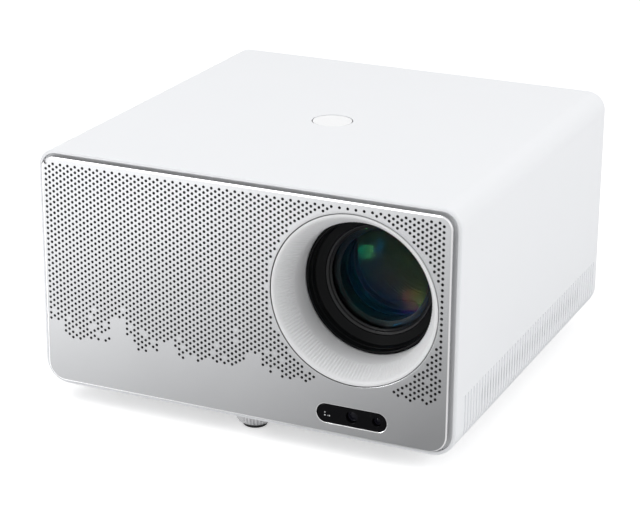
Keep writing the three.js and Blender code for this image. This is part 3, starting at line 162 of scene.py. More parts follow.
METRE = 0.001
quarter_turn = math.pi / 2
shell_width, shell_height, shell_bottom = 238.0, 132.4, 9.2
shell_front, shell_back = -115.0, 118.0
shell_wall = 2.2
top_round, bottom_round = 10.5, 13.5
corner_steps, button_hole_steps, opening_steps = 10, 64, 6
rim_round, inner_rim_round, rim_steps = 1.7, 0.4, 5
groove_count, groove_pitch, groove_first = 52, 4.17, -102.6
groove_width, groove_depth, groove_height, groove_draft = 1.6, 0.8, 31.0, 0.2
slot_first, slot_count, slot_low, slot_high = 6, 39, 16.3, 24.0
base_opening_half, base_opening_front, base_opening_back, base_opening_round = 100.0, -107.0, 106.0, 6.0
button_y, button_hole_radius, hole_lip = -2.5, 11.4, 0.2
button_patch, side_zone = 20.0, 90.0
shell_colour = (0.895, 0.907, 0.93, 1)
shell_top = shell_bottom + shell_height
shell_middle = shell_bottom + shell_height / 2


def make_group(name, given, results):
    """A node group with its sockets: gives back the group, what comes in and where results go"""
    group = bpy.data.node_groups.new(name, "ShaderNodeTree")
    for side, labels in (("INPUT", given), ("OUTPUT", results)):
        for label in labels:
            kind = "Vector" if label in ("Vector", "Normal") else "Float"
            group.interface.new_socket(name=label, in_out=side, socket_type="NodeSocket" + kind)
    return group, group.nodes.new("NodeGroupInput").outputs, group.nodes.new("NodeGroupOutput")


# Fine grain and broad unevenness give a roughness, a tone near 1 and a bumped normal
surface_grain, given, results = make_group(
    "surface_grain", ("Grain Scale", "Roughness", "Roughness Spread", "Tone Spread", "Bump", "Bump Height"),
    ("Roughness", "Tone", "Normal"))
place = object_place(surface_grain)
fine = add_node(surface_grain, "TexNoise", {"Vector": place, "Scale": given["Grain Scale"], "Detail": 3})
broad = add_node(surface_grain, "TexNoise", {"Vector": place, "Scale": 28, "Detail": 4})
uneven = add_node(surface_grain, "Math", {0: broad, 1: 0.5}, operation="SUBTRACT")
bump = {"Strength": given["Bump"], "Distance": given["Bump Height"], "Height": fine}
feed(surface_grain, results, {"Normal": add_node(surface_grain, "Bump", bump)})
for label, middle in (("Roughness", given["Roughness"]), ("Tone", 1.0)):
    spread = add_node(surface_grain, "Math", {0: uneven, 1: given[label + " Spread"], 2: middle},
        operation="MULTIPLY_ADD")
    feed(surface_grain, results, {label: spread})


def finish(name, colour, roughness, metallic=0.0, grain=1800.0, bump=0.1, height=0.00002,
        roughness_spread=0.06, tone_spread=0.2, specular=0.5):
    """A procedural finish on surface grain, with its plain values on the shader's own sockets"""
    material = bpy.data.materials.new(name)
    tree = node_tree(material)
    grained = add_node(tree, "Group", {
        "Grain Scale": grain, "Roughness": roughness, "Roughness Spread": roughness_spread,
        "Tone Spread": tone_spread, "Bump": bump, "Bump Height": height,
    }, name="grain", node_tree=surface_grain)
    toned = add_node(tree, "VectorMath", {0: colour[:3], "Scale": grained.outputs["Tone"]}, name="toned",
        operation="SCALE")
    shader = add_node(tree, "BsdfPrincipled", {
        "Base Color": toned, "Metallic": metallic, "Specular IOR Level": specular,
        "Roughness": grained.outputs["Roughness"], "Normal": grained.outputs["Normal"],
    }, name="finish")
    add_node(tree, "OutputMaterial", {"Surface": shader})
    return material


def finish_piece(name, shape, materials, body, replaced, sharp=32, weighted=False):
    """Takes a bmesh drawn in millimetres to a finished object in metres, riding on its body"""
    bmesh.ops.recalc_face_normals(shape, faces=shape.faces)
    bmesh.ops.scale(shape, vec=(METRE, METRE, METRE), verts=shape.verts)
    mesh = bpy.data.meshes.new(name)
    for face in shape.faces:
        face.smooth = True
    shape.to_mesh(mesh)
    shape.free()
    mesh.set_sharp_from_angle(angle=math.radians(sharp))
    made = bpy.data.objects.new(name, mesh)
    bpy.context.collection.objects.link(made)
    for material in materials:
        mesh.materials.append(material)
    if weighted:
        made.modifiers.new("flat_faces", "WEIGHTED_NORMAL").keep_sharp = True
    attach(made, body)
    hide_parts(*replaced)


def round_over(shape, parts, offset, steps=2, affect="EDGES"):
    bmesh.ops.bevel(shape, geom=[part for part in parts if part.is_valid], offset=offset, segments=steps,
        offset_type="OFFSET", profile=0.5, affect=affect, material=-1)


def tip(shape, verts, angle):
    """Turns corners about the axis that runs across"""
    bmesh.ops.rotate(shape, cent=(0, 0, 0), matrix=Matrix.Rotation(angle, 3, "X"), verts=verts)


def flat_corners(shape, width, depth):
    """The corners of a rectangle that lies about the origin"""
    corners = bmesh.ops.create_grid(shape, x_segments=1, y_segments=1, size=0.5)["verts"]
    bmesh.ops.scale(shape, vec=(width, depth, 1), verts=corners)
    return corners


def upright_outline(shape, place, y, width, height, rounds, steps):
    """A rounded rectangle standing in the plane of the front, as one face: rounds are top and bottom"""
    known = set(shape.faces)
    corners = flat_corners(shape, width, height)
    tip(shape, corners, quarter_turn)
    bmesh.ops.translate(shape, vec=(place[0], y, place[1]), verts=corners)
    uppers = [v for v in corners if v.co.z > place[1]]
    lowers = [v for v in corners if v.co.z < place[1]]
    round_over(shape, uppers, rounds[0], steps, "VERTICES")
    round_over(shape, lowers, rounds[1], steps, "VERTICES")
    return next(face for face in shape.faces if face not in known)


def case_outline(shape, inset, y):
    """The case's own outline, drawn in from its outer face"""
    return upright_outline(shape, (0, shell_middle), y, shell_width - 2 * inset, shell_height - 2 * inset,
        (top_round - inset, bottom_round - inset), corner_steps)


def take_out(shape, faces):
    bmesh.ops.delete(shape, geom=faces, context="FACES_ONLY")


def inset(shape, faces, thickness, depth=0.0):
    return bmesh.ops.inset_region(shape, faces=faces, thickness=thickness, depth=depth, use_boundary=True,
        use_even_offset=True)["faces"]


def move_made(shape, made, step):
    """Moves the corners that an operation has just made"""
    verts = [item for item in made["geom"] if isinstance(item, bmesh.types.BMVert)]
    bmesh.ops.translate(shape, vec=step, verts=verts)


def push_back(shape, faces, distance):
    move_made(shape, bmesh.ops.extrude_face_region(shape, geom=faces), (0, distance, 0))


def mouth_ring(shape, insets, front, back):
    """A band that follows the sleeve's mouth, between two insets from its outer face"""
    outer, inner = insets
    sheet = case_outline(shape, outer, front)
    rim = inset(shape, [sheet], inner - outer)
    take_out(shape, [sheet])
    push_back(shape, rim, back - front)


def centre_of(face):
    return face.calc_center_median()


def edges_at(verts):
    return list({e for v in verts for e in v.link_edges})


def cut_along(shape, faces, point, normal):
    """Cuts the given faces along a plane and gives back every face that lies there now"""
    geometry = set(faces)
    for face in faces:
        geometry.update(face.edges)
        geometry.update(face.verts)
    cut = bmesh.ops.bisect_plane(shape, geom=list(geometry), dist=0.0001, plane_co=point, plane_no=normal)
    return [item for item in cut["geom"] if isinstance(item, bmesh.types.BMFace)]


def border_of(faces):
    """The edges that only one of the given faces has"""
    counts = {}
    for face in faces:
        for edge in face.edges:
            counts[edge] = counts.get(edge, 0) + 1
    return [edge for edge, count in counts.items() if count == 1]


def fill_between(shape, edges):
    filled = bmesh.ops.triangle_fill(shape, use_beauty=True, use_dissolve=False, edges=edges)
    return [item for item in filled["geom"] if isinstance(item, bmesh.types.BMFace)]


def shell_shape():
    shape = bmesh.new()
    mouth_ring(shape, (0, shell_wall), shell_front, shell_back)
    bmesh.ops.recalc_face_normals(shape, faces=shape.faces)

    def is_outer(face):
        outward = Vector((centre_of(face).x, 0, centre_of(face).z - shell_middle))
        return face.normal.dot(outward) > 0

    # The rims
    for outer, amount, steps in ((True, rim_round, rim_steps), (False, inner_rim_round, 2)):
        rims = []
        for edge in shape.edges:
            at_end = all(min(abs(v.co.y - shell_front), abs(v.co.y - shell_back)) < 0.001 for v in edge.verts)
            walls = [f for f in edge.link_faces if abs(f.normal.y) < 0.5]
            if at_end and len(walls) == 1 and len(edge.link_faces) == 2 and is_outer(walls[0]) == outer:
                rims.append(edge)
        round_over(shape, rims, amount, steps)

    # The grooves with their slots
    groove_top, slot_bottom, slot_top = (shell_bottom + z for z in (groove_height, slot_low, slot_high))
    middles = [groove_first + i * groove_pitch for i in range(groove_count)]
    spans = [(y - groove_width / 2, y + groove_width / 2) for y in middles]
    slot_spans = range(slot_first, slot_first + slot_count)

    def span_of(face, margin=0.0):
        y = centre_of(face).y
        return next((i for i, (low, high) in enumerate(spans) if low + margin < y < high - margin), None)

    for side in (-1, 1):
        strip = [
            f for f in shape.faces
            if f.normal.x * side > 0.02 and abs(f.normal.y) < 0.01 and centre_of(f).x * side > side_zone
            and centre_of(f).z < shell_top - top_round
        ]
        inner = [f for f in shape.faces if f.normal.x * side < -0.99 and centre_of(f).x * side > side_zone]
        for height in (groove_top, slot_top, slot_bottom):
            strip = cut_along(shape, strip, (0, 0, height), (0, 0, 1))
            if height != groove_top:
                inner = cut_along(shape, inner, (0, 0, height), (0, 0, 1))
        grooved = [f for f in strip if centre_of(f).z < groove_top]
        slotted = [f for f in inner if slot_bottom < centre_of(f).z < slot_top]
        for i, (low, high) in enumerate(spans):
            for edge_y in (low, high):
                grooved = cut_along(shape, grooved, (0, edge_y, 0), (0, 1, 0))
            if i in slot_spans:
                for edge_y in (low + groove_draft, high - groove_draft):
                    slotted = cut_along(shape, slotted, (0, edge_y, 0), (0, 1, 0))
        sunk = [f for f in grooved if span_of(f) is not None]
        inset(shape, sunk, groove_draft, -groove_depth)
        floors, holes = {}, {}
        for face in sunk:
            if span_of(face) in slot_spans and slot_bottom < centre_of(face).z < slot_top:
                floors.setdefault(span_of(face), []).append(face)
        for face in slotted:
            if span_of(face, groove_draft) in floors:
                holes.setdefault(span_of(face, groove_draft), []).append(face)
        for i, faces in floors.items():
            loops = border_of(faces) + border_of(holes[i])
            take_out(shape, faces + holes[i])
            bmesh.ops.bridge_loops(shape, edges=loops)

    def flat_faces(height, direction):
        level = [f for f in shape.faces if abs(centre_of(f).z - height) < 0.01]
        return [f for f in level if f.normal.z * direction > 0.99]

    # The round hole for the button
    rings = []
    for height, direction in ((shell_top, 1), (shell_top - shell_wall, -1)):
        flat = flat_faces(height, direction)
        for axis, middle in ((Vector((1, 0, 0)), 0), (Vector((0, 1, 0)), button_y)):
            for reach in (-button_patch, button_patch):
                flat = cut_along(shape, flat, axis * (middle + reach), axis)
        patch = [
            f for f in flat
            if abs(centre_of(f).x) < button_patch and abs(centre_of(f).y - button_y) < button_patch
        ]
        frame_edges = border_of(patch)
        take_out(shape, patch)
        ring = bmesh.ops.create_circle(shape, cap_ends=False, segments=button_hole_steps,
            radius=button_hole_radius, matrix=Matrix.Translation((0, button_y, height)))
        rings.append(edges_at(ring["verts"]))
        fill_between(shape, frame_edges + rings[-1])
    bmesh.ops.bridge_loops(shape, edges=rings[0] + rings[1])
    round_over(shape, rings[0], hole_lip)

    # The opening for the base cover
    loops = []
    for height, direction in ((shell_bottom, -1), (shell_bottom + shell_wall, 1)):
        flat = flat_faces(height, direction)
        frame_edges = border_of(flat)
        take_out(shape, flat)
        corners = flat_corners(shape, 2 * base_opening_half, base_opening_back - base_opening_front)
        middle_y = (base_opening_front + base_opening_back) / 2
        bmesh.ops.translate(shape, vec=(0, middle_y, height), verts=corners)
        others = set(shape.verts) - set(corners)
        round_over(shape, corners, base_opening_round, opening_steps, "VERTICES")
        sheet = [f for f in shape.faces if not any(v in others for v in f.verts)]
        edges = list({e for f in sheet for e in f.edges})
        take_out(shape, sheet)
        fill_between(shape, frame_edges + edges)
        loops += edges
    bmesh.ops.bridge_loops(shape, edges=loops)
    return shape


shell_white = finish("shell_white", shell_colour, 0.42, bump=0.12, height=0.00003, tone_spread=0.012)
finish_piece("shell", shell_shape(), [shell_white], "case", ["sleeve"], weighted=True)

# Shoulder
# The sleeve's mouth has a shallow step behind its lip, of the same white plastic. It is the grey
# line that shows in the gap round the front panel.

shoulder_front, shoulder_back = -113.6, -111.6
shoulder_insets = (2.15, 5.0)

shape = bmesh.new()
mouth_ring(shape, shoulder_insets, shoulder_front, shoulder_back)
finish_piece("mouth_shoulder", shape, [shell_white], "case", [])

# Front panel
# One flat aluminium sheet, bead blasted and clear anodised, with a polished chamfer round its
# edge. It is punched with fine staggered holes for the speakers down to a ragged lower edge, and
# cut out for the lens hood and the sensor window. It stands 3 mm proud of the sleeve.

panel_width, panel_height, panel_front, panel_thickness = 230.4, 125.9, -118.0, 1.9
panel_rounds = (7.0, 10.0)
panel_chamfer, opening_chamfer = 0.65, 0.25
lens_x, lens_z, lens_opening_radius = 63.4, 86.5, 45.9
lens_opening_steps, bar_steps = 160, 14
window_x, window_z = 63.4, 23.1
window_opening_width, window_opening_height = 39.1, 10.5
hole_radius, hole_sides = 0.8, 10
column_pitch, row_pitch, column_count, row_count = 2.2115, 3.0, 102, 33
first_column, even_top, odd_top = -112.6, 59.38, 57.88
# The holes' centres keep this far from the lens's middle, but for two columns that pass beside it
hole_ring = 48.1
beside_ring = (58, 101)
# The lowest row of holes in each column, from the left, and the holes left out above it
last_rows = [
    29, 28, 29, 28, 31, 31, 32, 31, 32, 31, 31, 31, 31, 31, 30, 31, 31, 26, 26, 26, 26, 29, 29, 30, 32, 31,
    32, 30, 31, 31, 29, 29, 29, 28, 30, 31, 32, 30, 31, 30, 32, 31, 31, 30, 31, 31, 31, 31, 31, 31, 31, 30,
    30, 28, 28, 28, 28, 30, 30, 31, 30, 30, 32, 31, 32, 31, 31, 31, 32, 31, 31,
    *[16] * 19,
    31, 31, 31, 31, 32, 31, 31, 31, 32, 31, 31, 29,
]
missing_holes = {
    (1, 27), (5, 28), (7, 30), (11, 27), (11, 29), (12, 26), (12, 29), (13, 30), (15, 28), (15, 30),
    (16, 30), (20, 25), (22, 28), (25, 28), (26, 29), (28, 30), (35, 28), (36, 30), (44, 30), (45, 28),
    (47, 30), (50, 25), (50, 27), (58, 16), (58, 28),
    (60, 28), (62, 29), (68, 30), (93, 30), (98, 28), (98, 31),
    (101, 26),
}
panel_colour = (0.31, 0.313, 0.32, 1)
panel_edge_colour = (0.86, 0.86, 0.87, 1)
largest_bore_wall = 1.2
# Black for the wall of the panel's lens opening: painted shadow, so the thin gap round the hood's lip shows
# dark
lens_gap_shadow_colour = (0.012, 0.012, 0.013, 1)


def loop_of(shape, face):
    """The edges of a face, which is taken away"""
    edges = list(face.edges)
    take_out(shape, [face])
    return edges


def round_hole(shape, x, y, z, radius, steps):
    """A circle's edges in the plane of the front"""
    matrix = Matrix.Translation((x, y, z)) @ Matrix.Rotation(quarter_turn, 4, "X")
    ring = bmesh.ops.create_circle(shape, cap_ends=False, segments=steps, radius=radius, matrix=matrix)
    return edges_at(ring["verts"])


def bar_hole(shape, place, y, width, height, steps, rounded=None):
    """A rounded rectangle's edges in the plane of the front: a bar with round ends if not told"""
    rounded = rounded or min(width, height) / 2 - 0.001
    return loop_of(shape, upright_outline(shape, place, y, width, height, (rounded, rounded), steps))


def hole_places():
    """Punched and blank cells of the pattern, as pairs of column and row"""
    punched, blank = set(), set()
    for i, last in enumerate(last_rows):
        x = first_column + i * column_pitch
        for row in range(last + 1):
            z = shell_middle + (odd_top if i % 2 else even_top) - row * row_pitch
            if i in beside_ring or math.hypot(x - lens_x, z - lens_z) > hole_ring:
                (blank if (i, row) in missing_holes else punched).add((i, row))
    return punched, blank


def repeat(shape, count, step):
    """Copies everything drawn so far, count times in all, one step apart"""
    parts = shape.verts[:] + shape.edges[:] + shape.faces[:]
    for i in range(1, count):
        move_made(shape, bmesh.ops.duplicate(shape, geom=parts), Vector(step) * i)


def hole_lattice(shape, bore):
    half_width, half_height = column_pitch / 2, row_pitch / 2
    border = [
        shape.verts.new((x * half_width, panel_front, z * half_height))
        for x, z in ((-1, -1), (1, -1), (1, 0), (1, 1), (-1, 1), (-1, 0))
    ]
    border_edges = [shape.edges.new((a, b)) for a, b in zip(border, border[1:] + border[:1])]
    ring_edges = round_hole(shape, 0, panel_front, 0, hole_radius, hole_sides)
    for vert in {v for e in ring_edges for v in e.verts}:
        vert[bore] = 1
    fill_between(shape, border_edges + ring_edges)
    repeat(shape, 2, (column_pitch, 0, odd_top - even_top))
    repeat(shape, row_count, (0, 0, -row_pitch))
    repeat(shape, column_count // 2, (2 * column_pitch, 0, 0))
    bmesh.ops.translate(shape, vec=(first_column, 0, shell_middle + even_top), verts=shape.verts)

    def cell_of(place):
        column = round((place.x - first_column) / column_pitch)
        top = shell_middle + (odd_top if column % 2 else even_top)
        return column, round((top - place.z) / row_pitch)

    punched, blank = hole_places()
    caps = [
        e for e in shape.edges
        if e.verts[0][bore] and e.verts[1][bore] and cell_of((e.verts[0].co + e.verts[1].co) / 2) in blank
    ]
    unused = [f for f in shape.faces if cell_of(centre_of(f)) not in punched | blank]
    bmesh.ops.holes_fill(shape, edges=caps, sides=hole_sides)
    bmesh.ops.delete(shape, geom=unused, context="FACES")
    bmesh.ops.remove_doubles(shape, verts=shape.verts, dist=0.01)


def panel_shape():
    shape = bmesh.new()
    bore = shape.verts.layers.int.new("bore")
    hole_lattice(shape, bore)
    loops = [e for e in shape.edges if e.is_boundary and not (e.verts[0][bore] and e.verts[1][bore])]
    outline = upright_outline(
        shape, (0, shell_middle), panel_front + panel_chamfer, panel_width, panel_height, panel_rounds,
        corner_steps)
    inset(shape, [outline], panel_chamfer)
    bmesh.ops.translate(shape, vec=(0, -panel_chamfer, 0), verts=list(outline.verts))
    loops += loop_of(shape, outline)
    openings = round_hole(shape, lens_x, panel_front, lens_z, lens_opening_radius, lens_opening_steps)
    openings += bar_hole(shape, (window_x, window_z), panel_front, window_opening_width,
        window_opening_height, bar_steps)
    fill_between(shape, loops + openings)
    bmesh.ops.remove_doubles(shape, verts=shape.verts, dist=0.005)
    push_back(shape, shape.faces[:], panel_thickness - panel_chamfer)
    bmesh.ops.recalc_face_normals(shape, faces=shape.faces)
    round_over(shape, openings, opening_chamfer)
    return shape


panel_metal = finish("panel_metal", panel_colour, 0.22, metallic=1.0, grain=1500.0, bump=0.25,
    height=0.00004, roughness_spread=0.05, tone_spread=0.05)
# A matt black that stands for the shade in the gap round the hood: painted shadow
lens_gap_painted_shadow = finish("lens_gap_painted_shadow", lens_gap_shadow_colour, 0.7, grain=900.0, specular=0.1)
panel_edge = finish("panel_edge", panel_edge_colour, 0.25, metallic=1.0, grain=1500.0, bump=0.08,
    roughness_spread=0.04, tone_spread=0.03)
shape = panel_shape()
for face in shape.faces:
    middle = centre_of(face)
    from_lens = math.hypot(middle.x - lens_x, middle.z - lens_z)
    if from_lens > lens_opening_radius + opening_chamfer + 0.1:
        is_chamfer = panel_front + 0.02 < middle.y < panel_front + panel_chamfer
        is_outer_wall = abs(face.normal.y) < 0.5 and face.calc_area() > largest_bore_wall
        face.material_index = int(is_chamfer or is_outer_wall)
    # The lens opening's own wall is painted black: painted shadow for the dark line in the gap round the hood
    elif from_lens < lens_opening_radius + 0.01:
        face.material_index = 2
finish_piece("perforated_panel", shape, [panel_metal, panel_edge, lens_gap_painted_shadow], "case", ["front_panel"],
    weighted=True)

# Front frame
# A black ABS tray behind the panel, which is glued to it. Its collar clips into the sleeve's mouth,
# and it has openings for the hood, the sensors and the two speakers.

frame_front, frame_plate_back, frame_back = -115.8, -112.7, -107.3
frame_inset, frame_wall, collar_inset, collar_front = 5.2, 2.5, 2.5, -110.3
speaker_places, speaker_hole_radius = ((-82.0, 90.0), (-24.0, 90.0)), 20.0
frame_lens_steps, frame_bar_steps, speaker_steps = 96, 10, 64
frame_black_colour = (0.009, 0.009, 0.01, 1)


def make_plate(shape, edges, thickness, rounded=0.0, steps=2):
    """Fills the sheet between edges, draws it back and rounds its front over"""
    push_back(shape, fill_between(shape, edges), thickness)
    bmesh.ops.recalc_face_normals(shape, faces=shape.faces)
    if rounded:
        round_over(shape, edges, rounded, steps)


shape = bmesh.new()
loops = loop_of(shape, case_outline(shape, frame_inset, frame_front))
loops += round_hole(shape, lens_x, frame_front, lens_z, lens_opening_radius, frame_lens_steps)
loops += bar_hole(shape, (window_x, window_z), frame_front, window_opening_width, window_opening_height,
    frame_bar_steps)
for x, z in speaker_places:
    loops += round_hole(shape, x, frame_front, z, speaker_hole_radius, speaker_steps)
make_plate(shape, loops, frame_plate_back - frame_front)
mouth_ring(shape, (frame_inset, frame_inset + frame_wall), frame_plate_back, frame_back)
mouth_ring(shape, (collar_inset, frame_inset), collar_front, frame_back)
frame_black = finish("frame_black", frame_black_colour, 0.62, grain=1200.0, bump=0.2)
finish_piece("front_tray", shape, [frame_black], "case", ["front_frame"], weighted=True)

# Lens hood
# A deep white funnel round the lens, moulded in the shell's ABS: a thin raised lip, a cone with
# about a hundred and fifty radial ribs that kill reflections, and a plain throat that the barrel
# slides in. A flange behind the tray holds it.

lens_axis = (lens_x, 0, lens_z)
hood_steps = 288
hood_profile = [
    (45.5, -118.0, 0.35), (43.9, -118.0, 0.5), (43.2, -117.1), (42.75, -116.1), (38.35, -106.6),
    (37.9, -105.6), (37.6, -104.4), (37.6, -91.0, 0.3), (39.6, -91.0, 0.3), (39.9, -104.0),
    (43.6, -110.3), (47.5, -110.3), (47.5, -112.3), (45.5, -112.3),
]
rib_ends = ((42.75, -116.1), (38.35, -106.6))
rib_relief = (-0.42, -0.19)
hood_colour = (0.86, 0.865, 0.875, 1)


def turned(shape, profile, steps, centre, upright=False):
    """Turns a closed profile of radius, place and round about an axis that runs back, or up"""
    old_verts, old_faces = set(shape.verts), set(shape.faces)
    corners = [shape.verts.new((point[0], 0, point[1])) for point in profile]
    shape.faces.new(corners)
    for corner, point in zip(corners, profile):
        if len(point) > 2:
            round_over(shape, [corner], point[2], point[3] if len(point) > 3 else 3, "VERTICES")
    sheet = next(face for face in shape.faces if face not in old_faces)
    ends, edges = list(sheet.verts), list(sheet.edges)
    take_out(shape, [sheet])
    on_axis = [e for e in edges if max(abs(v.co.x) for v in e.verts) < 0.0001]
    outline = [e for e in edges if e not in on_axis]
    bmesh.ops.delete(shape, geom=on_axis, context="EDGES")
    bmesh.ops.spin(shape, geom=ends + outline, cent=(0, 0, 0), axis=(0, 0, 1), dvec=(0, 0, 0),
        angle=2 * math.pi, steps=steps, use_merge=True, use_duplicate=False)
    bmesh.ops.remove_doubles(shape, verts=[v for v in shape.verts if v not in old_verts], dist=0.0005)
    verts = [v for v in shape.verts if v not in old_verts]
    if not upright:
        tip(shape, verts, -quarter_turn)
    bmesh.ops.translate(shape, vec=centre, verts=verts)


shape = bmesh.new()
turned(shape, hood_profile, hood_steps, lens_axis)
for vert in shape.verts:
    x, z = vert.co.x - lens_x, vert.co.z - lens_z
    radius = math.hypot(x, z)
    step = round(math.atan2(z, x) / (2 * math.pi) * hood_steps)
    on_ribs = any(abs(radius - r) < 0.05 and abs(vert.co.y - y) < 0.05 for r, y in rib_ends)
    if on_ribs and step % 2:
        vert.co += Vector((rib_relief[0] * x / radius, rib_relief[1], rib_relief[0] * z / radius))
finish_piece("lens_hood_ribbed", shape,
    [finish("hood_white", hood_colour, 0.5, bump=0.12, height=0.00003, tone_spread=0.015)], "case",
    ["lens_hood"], sharp=20)

# Lens barrel
# The black body that carries the glass and slides for focus, turned and injected in glass-filled
# nylon. Its rim steps down to a sloped band, and a narrower tube runs back into the lens mount.

barrel_profile = [
    (35.8, -93.6, 0.2), (37.0, -93.6, 0.4), (37.0, -66.0, 0.4), (29.0, -66.0, 0.3), (29.0, -41.5, 0.4),
    (26.0, -41.5, 0.2), (26.0, -47.5), (24.0, -47.5), (24.0, -77.2, 0.2), (30.0, -77.2), (30.0, -84.8, 0.25),
    (34.6, -87.0, 0.35), (35.1, -90.0, 0.1), (35.4, -90.2, 0.1),
]
barrel_colour = (0.0065, 0.007, 0.0075, 1)
turning_pitch = 0.45
lens_steps = 160

# Fine rings round an axis, as a cutting tool leaves them, give a height from 0 to 1
turning_lines, given, results = make_group("turning_lines", ("Vector", "Lines Per Metre"), ("Height",))
apart = add_node(turning_lines, "SeparateXYZ", {0: given["Vector"]}).outputs
flat = add_node(turning_lines, "CombineXYZ", {"X": apart["X"], "Y": apart["Y"]})
radius = add_node(turning_lines, "VectorMath", {0: flat}, operation="LENGTH").outputs["Value"]
along = add_node(turning_lines, "Math", {0: radius, 1: apart["Z"]}, operation="ADD")
scaled = add_node(turning_lines, "Math", {0: along, 1: given["Lines Per Metre"]}, operation="MULTIPLY")
noise = add_node(turning_lines, "TexNoise", {"Scale": 1, "Detail": 2}, noise_dimensions="1D")
feed(turning_lines, noise, {"W": scaled})
feed(turning_lines, results, {"Height": noise})


def add_relief(material, relief, strength, height):
    """Lays a relief over a finish's own grain"""
    tree = material.node_tree
    bump = add_node(tree, "Bump", {"Strength": strength, "Distance": height, "Height": relief,
        "Normal": tree.nodes["grain"].outputs["Normal"]})
    feed(tree, tree.nodes["finish"], {"Normal": bump})
    return material


def add_turning(material, centre, upright=False, pitch=turning_pitch, strength=0.3, height=0.00003):
    """Lays turning lines about an axis over a finish"""
    tree = material.node_tree
    centred = add_node(tree, "Mapping", {
        "Vector": object_place(tree), "Location": [METRE * value for value in centre],
        "Rotation": (0 if upright else quarter_turn, 0, 0),
    }, vector_type="TEXTURE")
    lines = add_node(tree, "Group", {}, node_tree=turning_lines)
    feed(tree, lines, {"Vector": centred, "Lines Per Metre": 1 / (METRE * pitch)})
    return add_relief(material, lines, strength, height)


def turned_piece(name, profile, steps, centre, material, body, replaced, upright=False, sharp=32):
    shape = bmesh.new()
    turned(shape, profile, steps, centre, upright)
    finish_piece(name, shape, [material], body, replaced, sharp)


barrel_black = add_turning(
    finish("barrel_black", barrel_colour, 0.3, grain=1600.0, bump=0.08, specular=0.07), lens_axis)
turned_piece("lens_barrel_body", barrel_profile, lens_steps, lens_axis, barrel_black, "lens_group",
    ["lens_barrel"], sharp=28)

# Retaining ring
# A threaded ring of black anodised aluminium that presses the front glass into the barrel. Its
# sloped face is turned bright enough to catch the light in thin arcs.

ring_profile = [
    (29.7, -84.7, 0.15), (29.7, -81.7), (27.4, -81.7, 0.1), (27.4, -82.4, 0.25), (28.2, -83.0, 0.15),
    (28.5, -83.9, 0.15),
]
ring_colour = (0.012, 0.0125, 0.0135, 1)

ring_black = add_turning(finish("ring_black", ring_colour, 0.28, grain=1600.0, bump=0.05, specular=0.3),
    lens_axis, pitch=0.2)
turned_piece("retaining_ring_turned", ring_profile, lens_steps, lens_axis, ring_black, "lens_group",
    ["retaining_ring"])

# Glass
# The front element is a ground dome, the rear one bulges back, and two smaller ones stand between
# them in the blackened bore. All are coated, so they reflect little, and that in green and violet.

glass_profiles = {
    "front_glass": {
        "points": [(0, -77.4), (29.6, -77.4, 0.3), (29.6, -81.4, 0.3), (26.9, -81.4), (13.8, -87.3, 13.6, 14),
                   (0, -87.3)],
        "replaces": ["front_lens"], "film": 545.0,
    },
    "rear_glass": {
        "points": [(0, -47.2), (25.6, -47.2, 0.3), (25.6, -44.2, 0.3), (13.0, -38.4, 12.8, 12), (0, -38.4)],
        "replaces": ["rear_lens"], "film": 520.0,
    },
    "inner_glass_1": {
        "points": [(0, -66.0), (23.8, -66.0, 0.3), (23.8, -69.0, 0.3), (12.0, -75.0, 11.8, 12), (0, -75.0)],
        "replaces": [], "film": 480.0,
    },
    "inner_glass_2": {
        "points": [(0, -53.0), (23.8, -53.0, 0.3), (23.8, -60.0, 0.3), (21.0, -60.0), (10.0, -57.5, 9.5, 12),
                   (0, -57.5)],
        "replaces": [], "film": 640.0,
    },
}
glass_colour = (0.93, 0.96, 0.95, 1)
glass_index, film_index = 1.13, 1.065
glass_steps = 96


def coated_glass(name, film):
    """Clear glass with a thin coating on top and the faintest unevenness in its polish"""
    material = finish(name, glass_colour, 0.02, grain=400.0, bump=0.0, roughness_spread=0.03,
        tone_spread=0.01)
    feed(material.node_tree, material.node_tree.nodes["finish"], {
        "Transmission Weight": 1.0, "IOR": glass_index, "Thin Film Thickness": film,
        "Thin Film IOR": film_index,
    })
    return material


for name, plan in glass_profiles.items():
    glass = coated_glass(name + "_coated", plan["film"])
    turned_piece(name, plan["points"], glass_steps, lens_axis, glass, "lens_group", plan["replaces"],
        sharp=40)

# Sensor window
# A bar of polished black acrylic that stands flush in the panel. The camera that squares the
# picture and the distance sensor that focuses it look through two round holes.

bar_width, bar_height, bar_front, bar_back = 38.5, 9.9, -117.7, -114.2
bar_edge, bar_edge_steps = 0.45, 3
eyes = {
    "camera_eye": {"x": 63.4, "radius": 2.95, "front": -115.2, "back": -109.7, "replaces": ["camera_lens"]},
    "distance_eye": {"x": 77.2, "radius": 2.15, "front": -115.4, "back": -109.7,
                     "replaces": ["distance_sensor"]},
}
eye_gap = 0.25
dot_places = ((48.5, 23.4, 0.32), (48.5, 21.8, 0.42), (50.0, 21.8, 0.2), (51.0, 21.8, 0.42))
dot_front, dot_back, dot_round, dot_steps, eye_steps = -117.74, -117.5, 0.03, 24, 48
gloss_black_colour = (0.004, 0.004, 0.005, 1)
dot_colour = (0.62, 0.63, 0.63, 1)
eye_colour = (0.008, 0.008, 0.014, 1)

shape = bmesh.new()
outer = bar_hole(shape, (window_x, window_z), bar_front, bar_width, bar_height, bar_steps)
rims = []
for eye in eyes.values():
    rims += round_hole(shape, eye["x"], bar_front, window_z, eye["radius"] + eye_gap, eye_steps)
make_plate(shape, outer + rims, bar_back - bar_front)
round_over(shape, outer, bar_edge, bar_edge_steps)
round_over(shape, rims, eye_gap)
gloss_black = finish("gloss_black", gloss_black_colour, 0.06, grain=300.0, bump=0.02,
    roughness_spread=0.03, tone_spread=0.1, specular=0.04)
finish_piece("sensor_bar", shape, [gloss_black], "case", ["sensor_window"], weighted=True)

